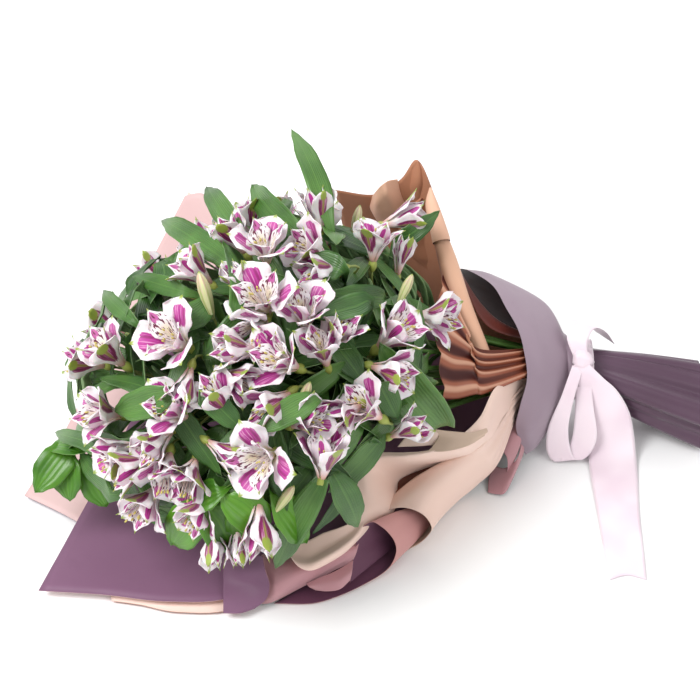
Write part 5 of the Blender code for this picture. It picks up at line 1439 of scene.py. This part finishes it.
# Sprigs of broad-leaved greenery: each leaf's start and tip as seen, its lift and its half width
SPRIGS = {
    "greenery_left": (
        (-252, -84, -286, -118, 2, 15),
        (-256, -92, -254, -126, 2, 14),
        (-244, -100, -222, -132, 0, 14),
        (-250, -84, -232, -66, 2, 12),
        (-238, -92, -268, -76, 4, 10),
    ),
    "greenery_front": (
        (-128, -132, -158, -160, 8, 17),
        (-128, -132, -104, -166, 8, 17),
        (-112, -126, -74, -146, 8, 16),
        (-112, -124, -140, -124, 10, 13),
        (-96, -132, -92, -172, 4, 15),
        (-70, -130, -42, -160, 6, 15),
    ),
}
SPRIG_SINK = -10
FORK_DEPTH = 16
LOWEST_FORK = 14


def sprig_fork(leaves):
    """Where a sprig's leaves spring from."""
    starts = (on_head(across, up, SPRIG_SINK)[0] for across, up, *_ in leaves)
    middle = sum(starts, Vector()) / len(leaves)
    fork = middle + (HEAD_CORE - middle).normalized() * FORK_DEPTH
    fork.z = max(fork.z, LOWEST_FORK)
    return fork


UMBELS = {stem: umbel_of(FLOWERS[stem]) for stem in STEMS}
UMBELS.update({name: sprig_fork(leaves) for name, leaves in SPRIGS.items()})
everyone = [*STEMS, *SPRIGS]
slopes = []
for stem in everyone:
    rise = (UMBELS[stem] - NECK) / gather(NECK.x - UMBELS[stem].x)
    slopes.append((rise.y, rise.z))
STEM_LINES = {stem: stem_line(UMBELS[stem], slot) for stem, slot in zip(everyone, matched_slots(slopes))}
tops = [round(line[0].x) for line in STEM_LINES.values()]
print("the stems' tops are", min(tops), "to", max(tops), "mm along")

# %% [markdown]
# ### One bloom
#
# A petal is a narrow claw that widens into a rounded blade with a small point at its end. Its line leaves
# the ovary close to the flower's axis and bends outwards, more in an open flower. It is cupped across, and
# its edges are ruffled. Six petals, six stamens with mealy anthers and a ribbed ovary make a bloom.

# %% Petals
TEPAL_LENGTH = 42
OUTER_HALF_WIDTH = 15.5
INNER_HALF_WIDTH = 10
PETAL_STEPS = 24
PETAL_COLUMNS = 10
PETAL_ROWS = 13
# How far from the bloom's axis the petals start, and how far up it
OUTER_FOOT = 2.4
INNER_FOOT = 1.6
FOOT_HEIGHT = 5.0
# How far a petal leans from the axis, in degrees, when shut, and what full opening adds
OUTER_FOOT_LEAN = (12, 14)
OUTER_END_LEAN = (-8, 98)
INNER_FOOT_LEAN = (2, 12)
INNER_END_LEAN = (-6, 66)
OUTER_WIDTHS = ((0, 0.13), (0.3, 0.36), (0.62, 0.90), (0.80, 1.0), (0.93, 0.92), (1.0, 0.62))
INNER_WIDTHS = ((0, 0.16), (0.35, 0.42), (0.68, 1.0), (0.85, 0.86), (1.0, 0.30))


def toned(bm, verts, tone):
    """Give a petal or a leaf its own tone, in a second UV map."""
    layer = bm.loops.layers.uv.get("tone") or bm.loops.layers.uv.new("tone")
    for face in {face for vert in verts for face in vert.link_faces}:
        for loop in face.loops:
            loop[layer].uv = (tone, 0.5)


def petal_track(openness, length, outer, rng):
    """Places along a petal as (distance from the axis, height up the axis, lean)."""
    shut, opening = OUTER_FOOT_LEAN if outer else INNER_FOOT_LEAN
    start = math.radians(shut + opening * openness)
    shut, opening = OUTER_END_LEAN if outer else INNER_END_LEAN
    end = math.radians(shut + opening * openness) + rng.uniform(-0.16, 0.16)
    out = OUTER_FOOT if outer else INNER_FOOT
    high = FOOT_HEIGHT
    track = [(out, high, start)]
    for step in range(PETAL_STEPS):
        t = (step + 0.5) / PETAL_STEPS
        lean = start + (end - start) * t**1.5
        out += math.sin(lean) * length / PETAL_STEPS
        high += math.cos(lean) * length / PETAL_STEPS
        track.append((out, high, lean))
    return track


def petal(bm, foot, axis, spoke, openness, size, outer, rng, finish):
    """One petal, bent outwards, cupped and ruffled."""
    length = TEPAL_LENGTH * size
    track = petal_track(openness, length, outer, rng)
    across_way = axis.cross(spoke)
    narrow = 0.42 + 0.58 * min(1, openness * 1.7)
    half = (OUTER_HALF_WIDTH if outer else INNER_HALF_WIDTH) * size * narrow
    widths = OUTER_WIDTHS if outer else INNER_WIDTHS
    phase = rng.uniform(0, math.tau)
    waves = rng.uniform(1.6, 2.6)
    lean_over = rng.uniform(-0.10, 0.10)
    reflex = rng.uniform(-0.10, 0.16) * openness

    def place(across, along):
        side = 1 - 2 * across
        tip = math.exp(-((side / 0.12) ** 2)) * 0.05
        reach = min(1.0, along * (0.95 - 0.11 * side * side * along**2 + tip * along**3))
        spot = reach * PETAL_STEPS
        k = min(int(spot), PETAL_STEPS - 1)
        out, high, lean = (track[k][j] + (track[k + 1][j] - track[k][j]) * (spot - k) for j in range(3))
        way = spoke * math.sin(lean) + axis * math.cos(lean)
        inward = (axis * math.sin(lean) - spoke * math.cos(lean)).normalized()
        ragged = 1 + 0.05 * noise.noise(Vector((5 * along, 3 * side, phase)))
        width = half * outline(widths, along) * ragged
        cup = 0.55 * (1 - eased(along, 0.1, 0.75)) + (0.16 - reflex) * eased(along, 0.4, 0.9)
        swing = math.sin(math.tau * waves * along + phase + 1.3 * side)
        ruffle = 1.7 * size * side * side * eased(along, 0.35, 0.8) * swing
        groove = -0.7 * size * math.exp(-((side / 0.18) ** 2)) * eased(along, 0.2, 0.6)
        aside = side * width + lean_over * length * along * along
        point = foot + spoke * out + axis * high + across_way * aside
        return point + inward * (cup * width * side * side + ruffle + groove)

    toned(bm, patch(bm, PETAL_COLUMNS, PETAL_ROWS, place, finish), rng.random())


print("a petal has", PETAL_COLUMNS * PETAL_ROWS, "faces and is", TEPAL_LENGTH, "mm long")

# %% [markdown]
# ### The whole bloom
#
# Two whorls of three petals stand round the axis, and the inner ones show their dashes between the outer
# ones. Each is turned, sized and waved a little by chance, as no two real ones are alike. Petals go into
# one bmesh of the stem, and ovaries, stamens, buds and stalks into another, so that each can have its own
# thickness.


# %% A whole bloom, a bud and their stalks
FLOWER_LENGTH = 44
OVARY_HEIGHTS = (-4, -1.5, 1, 3.5, 6, 8.5)
OVARY_RADII = (1.2, 2.6, 3.6, 3.8, 3.1, 1.9)
BUD_SHARES = (-0.09, 0.05, 0.2, 0.4, 0.6, 0.8, 0.93, 1.0)
BUD_RADII = (1.4, 3.2, 4.6, 6.0, 6.4, 5.0, 2.6, 0.5)
ANTHER_STEPS = (-0.4, 0.4, 1.3, 2.2, 2.7)
ANTHER_RADII = (0.4, 0.75, 0.85, 0.7, 0.25)
# A bloom more shut than this hides its stamens
STAMENS_SHOW = 0.35


def bloom_frame(axis, roll):
    """Two directions across a bloom's axis, turned by the roll."""
    side = axis.orthogonal().normalized()
    turned = Matrix.Rotation(roll, 3, axis) @ side
    return turned, axis.cross(turned)


def stamens(stalks, foot, axis, side, over, size, rng):
    """Add six thin filaments that droop, each with a mealy anther at its end."""
    droop = (UP * -0.25 + side * rng.uniform(-0.3, 0.3)).normalized()
    for k in range(6):
        turn = math.tau * (k + 0.5) / 6 + rng.uniform(-0.3, 0.3)
        spoke = math.cos(turn) * side + math.sin(turn) * over
        reach = TEPAL_LENGTH * size * rng.uniform(0.58, 0.80)
        line = []
        for t in (0, 0.35, 0.7, 1):
            line.append(foot + axis * (6 + reach * t) + spoke * (1.0 + 3.2 * t) + droop * (6 * t * t))
        tube(stalks, smooth_line(line, 6), (0.32, 0.26), 4, FILAMENTS)
        way = (line[-1] - line[-2]).normalized()
        tube(stalks, [line[-1] + way * step for step in ANTHER_STEPS], ANTHER_RADII, 6, ANTHERS)


def bloom(petals, stalks, flower, roll, rng):
    """Add a bloom's petals to one bmesh and its ovary and stamens to another. Returns its foot."""
    _, heart, axis, openness, size = flower
    foot = heart - axis * FLOWER_LENGTH * size * 0.45
    side, over = bloom_frame(axis, roll)
    for k in (0, 2, 4, 1, 3, 5):
        turn = math.tau * k / 6 + rng.uniform(-0.10, 0.10)
        spoke = (math.cos(turn) * side + math.sin(turn) * over).normalized()
        outer = k % 2 == 0
        finish = OUTER_FACE if outer else INNER_FACE
        petal(petals, foot, axis, spoke, openness, size * rng.uniform(0.95, 1.05), outer, rng, finish)
    ovary = [foot + axis * (high * size) for high in OVARY_HEIGHTS]
    tube(stalks, ovary, [radius * size for radius in OVARY_RADII], 12, OVARY, (6, 0.09))
    if openness > STAMENS_SHOW:
        stamens(stalks, foot, axis, side, over, size, rng)
    return foot


def bud(stalks, flower):
    """Add a closed bud and return its foot."""
    _, heart, axis, _, size = flower
    length = FLOWER_LENGTH * size
    foot = heart - axis * length * 0.5
    line = [foot + axis * (length * share) for share in BUD_SHARES]
    tube(stalks, smooth_line(line, 15), [radius * size for radius in BUD_RADII], 18, BUD, (6, 0.06))
    return foot


def pedicel(stalks, foot, axis, umbel, size):
    """A slender stalk from the umbel to a flower, leaving the flower along its axis."""
    reach = (foot - umbel).length
    elbow = foot - axis * reach * 0.4
    line = [umbel.lerp(elbow, t).lerp(elbow.lerp(foot, t), t) for t in (0, 0.2, 0.4, 0.6, 0.8, 1)]
    tube(stalks, line, (1.5, 1.1, 1.1, 1.3 * size), 7, PEDICEL)


print("a bloom has six petals, an ovary and six stamens")

# %% [markdown]
# ### Leaves
#
# Alstroemeria leaves are lance-shaped and twist over at their base, so that some show the duller underside.
# The large ones that show were placed one by one; the rest follow a rule, spiralling up the last stretch of
# each stem by the golden angle, as they do on a real one, with a whorl of small leaves under each umbel.

# %% Leaves
# Large leaves that show: the stem, where the blade starts and where its tip is as seen, how far each stands
# out of the dome, the blade's half width and its turn about its own line
BIG_LEAVES = (
    ("stem_07", -18, 112, -54, 190, 0, 10, 11, 20),
    ("stem_07", -40, 98, -88, 144, 0, 6, 13, -20),
    ("stem_05", -100, 70, -168, 112, 0, 6, 11, 10),
    ("stem_06", -98, 20, -113, 88, 14, 12, 8, 40),
    ("stem_05", -140, 50, -194, 64, 0, 4, 8, 0),
    ("stem_01", -190, 20, -219, 50, 0, 6, 7, 0),
    ("stem_01", -215, -90, -261, -74, 0, 6, 7, 10),
    ("stem_02", -150, -40, -208, -56, 10, 6, 13, 0),
    ("stem_12", -32, -44, -88, -74, 12, 14, 11, 10),
    ("stem_07", -10, 60, -38, 76, 12, 12, 12, 0),
    ("stem_09", 12, 34, -34, 22, 12, 12, 11, 20),
    ("stem_10", 78, -66, 22, 4, 6, 8, 20, -20),
    ("stem_08", 40, 96, 80, 125, 0, 2, 9, 20),
    ("stem_13", -26, -110, -68, -192, 8, 6, 12, 10),
    ("stem_13", -20, -108, 4, -156, 8, 6, 12, -20),
    ("stem_11", 20, -30, 40, -62, 8, 4, 11, 0),
    ("stem_04", -128, -40, -96, -72, 10, 8, 10, 0),
    ("stem_16", -96, 96, -128, 142, 0, 6, 10, 0),
)

LEAF_WIDTHS = ((0, 0.14), (0.16, 0.20), (0.5, 1.0), (0.72, 0.86), (0.9, 0.40), (1.0, 0.02))
SPRIG_WIDTHS = ((0, 0.10), (0.2, 0.14), (0.5, 1.0), (0.72, 0.96), (0.9, 0.50), (1.0, 0.02))
LEAF_ROWS = 15
LEAF_COLUMNS = 6
LEAF_THICKNESS = 0.4


def leaf(bm, root, base, tip, half_width, facing, roll, droop, rng, widths=LEAF_WIDTHS, twist=0.0):
    """A leaf on a narrow stalk, cupped along its midrib, with slightly wavy edges, turned to face a way."""
    way = (tip - base).normalized()
    face = Matrix.Rotation(math.radians(roll), 3, way) @ (facing - way * facing.dot(way)).normalized()
    rise = face * droop
    knots = [root, base, base.lerp(tip, 0.34) + rise, base.lerp(tip, 0.7) + rise * 0.8, tip]
    last = LEAF_ROWS - 1
    line = smooth_line(knots, LEAF_ROWS)
    phase = rng.uniform(0, math.tau)
    cup = rng.uniform(0.10, 0.30)

    def place(across, along):
        k = round(along * last)
        ahead = (line[min(k + 1, last)] - line[max(k - 1, 0)]).normalized()
        turned = Matrix.Rotation(twist * along, 3, ahead) @ face
        out = ahead.cross(turned).normalized()
        up = out.cross(ahead)
        share = 2 * across - 1
        width = half_width * outline(widths, along)
        wave = 0.09 * half_width * math.sin(math.tau * 1.7 * along + phase + 2 * share) * share * share
        return line[k] + out * share * width + up * (cup * width * share * share + wave)

    toned(bm, patch(bm, LEAF_COLUMNS, last, place), rng.random())


# The turn in radians from one leaf to the next, and how often a leaf may be tried before it is left out
GOLDEN_TURN = 2.4
LEAF_ATTEMPTS = 10
LOWEST_LEAF = 12
# The head's outline as seen, across and up, which no leaf of the rules may cross
HEAD_OUTLINE = (
    (-252, -88), (-256, -45), (-248, 0), (-229, 27), (-213, 50), (-190, 62), (-166, 84),
    (-146, 104), (-113, 110), (-86, 130), (-45, 138), (-5, 128), (45, 120), (62, 104),
    (64, 68), (80, 34), (86, 9), (80, -32), (66, -68), (32, -82), (8, -104),
    (8, -132), (-8, -158), (-45, -174), (-104, -174), (-145, -152), (-191, -148), (-218, -118),
)


def as_seen(place):
    """How far across and up a place is seen from the middle of the view."""
    ray = place - VIEWPOINT
    scale = VIEW_DISTANCE / ray.dot(FORWARD)
    return ray.dot(RIGHT) * scale, ray.dot(UPWARD) * scale


def inside_outline(place):
    """Whether a place is seen inside the head's outline."""
    across, up = as_seen(place)
    inside = False
    for (x1, y1), (x2, y2) in zip(HEAD_OUTLINE, HEAD_OUTLINE[1:] + HEAD_OUTLINE[:1]):
        if (y1 > up) != (y2 > up) and across < x1 + (up - y1) * (x2 - x1) / (y2 - y1):
            inside = not inside
    return inside


def rule_leaves(bm, stem, rng, count, length, half_width, spacing, spread, limit):
    """Leaves up a stem's last stretch, each a golden turn on from the last, kept inside the dome."""
    line = STEM_LINES[stem]
    way = (line[0] - line[1]).normalized()
    side = way.orthogonal().normalized()
    for number in range(count):
        root = line[0] - way * (2 + spacing * number)
        for attempt in range(LEAF_ATTEMPTS):
            turn = GOLDEN_TURN * number + rng.uniform(-0.4, 0.4) + 0.63 * attempt
            spoke = Matrix.Rotation(turn, 3, way) @ side
            reach = rng.uniform(*length)
            heading = (way + spoke * rng.uniform(*spread)).normalized()
            base = root + heading * reach * 0.2
            tip = root + heading * reach + Vector((0, 0, -0.08 * reach))
            scaled = Vector((tip[k] - HEAD_CENTRE[k]) / HEAD_RADII[k] for k in range(3))
            seen_inside = inside_outline(tip) and inside_outline(base)
            if scaled.length < limit and min(tip.z, base.z) > LOWEST_LEAF and seen_inside:
                outward = (base + tip) / 2 - HEAD_CENTRE
                half, roll, twist = rng.uniform(*half_width), rng.uniform(-50, 50), rng.uniform(-0.9, 0.9)
                leaf(bm, root, base, tip, half, outward, roll, reach * 0.1, rng, twist=twist)
                break


print("a leaf has", (LEAF_ROWS - 1) * LEAF_COLUMNS, "faces, and", len(BIG_LEAVES), "were placed one by one")

# %% [markdown]
# ### Leaves that fill the dome
#
# Between its blooms the head is a thicket of leaves, and the stems' rule leaves too many gaps. Random
# places are drawn on the dome, and one is kept if it stands clear of every bloom and of the leaves before
# it. Its owner is the nearest umbel's stem, so that each leaf still grows from a real stem.


# %% Leaves that fill the dome between the blooms
GAP_TRIES = 12
GAP_LOWEST = 24
GAP_LAST = 125
GAP_TO_BLOOM = 24
GAP_TO_LEAF = 19
# Ends of a filling leaf's half width, its roll in degrees, its rise and its twist
GAP_LEAF_RANGES = ((8, 12.5), (-35, 35), (2, 8), (-0.7, 0.7))
GAP_TIP_LOWEST = 9


def gap_leaves(count, seed):
    """Leaves on the dome away from the blooms, by stem: each blade's base and tip, and the way outward."""
    rng = random.Random(seed)
    hearts = [place for flowers in FLOWERS.values() for _, place, _, _, _ in flowers]
    found = {stem: [] for stem in STEMS}
    middles = []
    for _ in range(count * GAP_TRIES):
        turn = rng.uniform(0, math.tau)
        high = rng.uniform(-0.25, 1.0)
        level = math.sqrt(1 - high * high)
        unit = Vector((level * math.cos(turn), level * math.sin(turn), high))
        deep = rng.uniform(0.86, 0.99)
        middle = HEAD_CENTRE + Vector(unit[k] * HEAD_RADII[k] for k in range(3)) * deep
        if middle.z < GAP_LOWEST or middle.x > GAP_LAST or len(middles) >= count:
            continue
        if min((middle - heart).length for heart in hearts) < GAP_TO_BLOOM:
            continue
        if middles and min((middle - other).length for other in middles) < GAP_TO_LEAF:
            continue
        outward = Vector(unit[k] / HEAD_RADII[k] for k in range(3)).normalized()
        across = outward.cross(UP).normalized()
        heading = across * rng.uniform(-1, 1) - outward.cross(across) * rng.uniform(-1, 0.2)
        heading -= RIGHT * 0.3
        heading = (heading - outward * heading.dot(outward)).normalized() + outward * rng.uniform(-0.1, 0.3)
        half = rng.uniform(24, 38)
        if not all(inside_outline(middle + heading * half * side) for side in (-1, 1)):
            continue
        middles.append(middle)
        owner = min(STEMS, key=lambda stem: (UMBELS[stem] - middle).length)
        found[owner].append((middle - heading * half, middle + heading * half, outward))
    print(len(middles), "leaves fill the dome")
    return found


GAP_LEAVES = gap_leaves(170, 7)


# %% [markdown]
# ### Every stem
#
# Now each stem is put together: its stalk, its flowers on their pedicels, and its leaves. It becomes three
# pieces, because petals and leaves get a thin wall from a Solidify modifier, and stalks are solid already.
# Each stem has its own random generator, so that a change to one stem leaves the others as they are.


# %% Every flowering stem
STEM_RADII = (1.9, 2.1, 2.3)
STEM_ROWS = 37
STEM_SIDES = 9


def dress_stem(stem, number):
    """One stem's petals, leaves and stalks, as three pieces."""
    rng = random.Random(100 + number)
    petals, leaves, stalks = bmesh.new(), bmesh.new(), bmesh.new()
    line = smooth_line(STEM_LINES[stem], STEM_ROWS)
    tube(stalks, line, STEM_RADII, STEM_SIDES, STEM, (5, 0.03))
    for place, flower in enumerate(FLOWERS[stem]):
        opened, _, axis, _, size = flower
        foot = bloom(petals, stalks, flower, 0.9 * place + 0.3, rng) if opened else bud(stalks, flower)
        pedicel(stalks, foot, axis, UMBELS[stem], size)
    for owner, across, up, tip_across, tip_up, lift, tip_lift, half_width, roll in BIG_LEAVES:
        if owner == stem:
            base = on_head(across, up, lift)[0]
            tip = on_head(tip_across, tip_up, tip_lift)[0]
            leaf(leaves, line[1], base, tip, half_width, -FORWARD, roll, 0.1 * (tip - base).length, rng)
    for base, tip, outward in GAP_LEAVES[stem]:
        tip.z = max(tip.z, GAP_TIP_LOWEST)
        half, roll, rise, twist = [rng.uniform(*ends) for ends in GAP_LEAF_RANGES]
        leaf(leaves, line[1], base, tip, half, outward, roll, rise, rng, twist=twist)
    rule_leaves(leaves, stem, rng, 6, (34, 52), (4, 6.5), 0.6, (0.5, 1.5), 0.98)
    rule_leaves(leaves, stem, rng, 13, (60, 96), (7, 11), 7, (0.4, 1.3), 0.99)
    make_piece(stem + "_petals", petals, PETALS, [stem], "foliage", LEAF_THICKNESS)
    make_piece(stem + "_leaves", leaves, [LEAF_TOP, LEAF_UNDER], [stem], "foliage", LEAF_THICKNESS)
    make_piece(stem + "_stalks", stalks, STALKS, [stem], "foliage")


for number, stem in enumerate(STEMS):
    dress_stem(stem, number)

# %% [markdown]
# ### Greenery
#
# Two sprigs of broad leaves fill the head's lower edge. Their leaves are wider, thicker, glossier and a
# yellower green, and each sprig springs from one fork. The same leaf function serves, with other widths and
# finishes.

# %% Sprigs of broad-leaved greenery
SPRIG_THICKNESS = 0.45
SPRIG_FACING = (-FORWARD + 0.4 * UP).normalized()
for number, (name, rows) in enumerate(SPRIGS.items()):
    rng = random.Random(40 + number)
    leaves, stalks = bmesh.new(), bmesh.new()
    line = smooth_line(STEM_LINES[name], STEM_ROWS)
    tube(stalks, line, STEM_RADII, STEM_SIDES, STEM)
    for across, up, tip_across, tip_up, lift, half_width in rows:
        base = on_head(across, up, lift - 4)[0]
        tip = on_head(tip_across, tip_up, lift)[0]
        tip.z = max(8, tip.z - 14)
        roll = rng.uniform(-20, 20)
        rise = 0.1 * (tip - base).length
        leaf(leaves, line[1], base, tip, half_width, SPRIG_FACING, roll, rise, rng, SPRIG_WIDTHS)
    make_piece(name + "_leaves", leaves, [SPRIG_TOP, SPRIG_UNDER], [name], "greenery", SPRIG_THICKNESS)
    make_piece(name + "_stalks", stalks, STALKS, [name], "greenery")

# %% [markdown]
# ## The twine inside the tie
#
# Under the film the stems are bound with twine, so the bundle keeps its shape. It is a helix of five close
# turns.

# %% Twine binding
TWINE_TURNS = 5
TWINE_SIDES = 28
TWINE_START = 300.8
TWINE_RUN = 4.4
TWINE_REACH = 16.6
TWINE_RADIUS = 0.55
twine_bm = bmesh.new()
twine_line = []
for k in range(TWINE_TURNS * TWINE_SIDES + 1):
    x = TWINE_START + TWINE_RUN * k / (TWINE_TURNS * TWINE_SIDES)
    twine_line.append(neck_point(x, 360 * k / TWINE_SIDES, TWINE_REACH))
TWINE = stalk_finish("twine", (0.34, 0.23, 0.10), (0.52, 0.38, 0.19), 0.85)
tube(twine_bm, twine_line, (TWINE_RADIUS, TWINE_RADIUS), 8)
make_piece("twine_binding", twine_bm, [TWINE], ["stem_binding"], "binding")

# %% [markdown]
# ## Table and light
#
# The bouquet lies on a plain white table under large soft lights, as in a bright studio.


# %% Table, lights and world
TABLE_HALF = 4
TABLE_DROP = 0.0003
LIT_PLACE = (0.05, 0.05, 0.05)


def table_finish():
    """A matte white top with very slow changes of tone."""
    finish = Finish("white_table", roughness=0.6)
    tone = finish.noise(finish.place(), 4, 2)
    return finish.done(finish.mix(tone, (0.90, 0.90, 0.90), (0.93, 0.93, 0.93)))


table_bm = bmesh.new()
bmesh.ops.create_grid(table_bm, x_segments=2, y_segments=2, size=TABLE_HALF)
table_mesh = bpy.data.meshes.new("table")
bmesh.ops.translate(table_bm, vec=(0, 0, -TABLE_DROP), verts=table_bm.verts)
table_bm.to_mesh(table_mesh)
table_bm.free()
table_mesh.materials.append(table_finish())
table = bpy.data.objects.new("table", table_mesh)
bpy.context.scene.collection.objects.link(table)


def soft_light(name, place, size, power):
    """A large square lamp that faces the bouquet."""
    lamp = bpy.data.lights.new(name, "AREA")
    lamp.size = size
    lamp.energy = power
    holder = bpy.data.objects.new(name, lamp)
    holder.location = place
    holder.rotation_euler = (Vector(LIT_PLACE) - Vector(place)).to_track_quat("-Z", "Y").to_euler()
    bpy.context.scene.collection.objects.link(holder)


soft_light("key", (-1.0, -0.5, 1.6), 1.0, 36)
soft_light("fill", (1.3, -0.9, 1.2), 1.4, 10)
soft_light("back", (0.2, 1.6, 1.3), 1.4, 14)
world = bpy.data.worlds.new("studio")
world.use_nodes = True
world.node_tree.nodes["Background"].inputs["Color"].default_value = (1, 1, 1, 1)
world.node_tree.nodes["Background"].inputs["Strength"].default_value = 0.62
bpy.context.scene.world = world
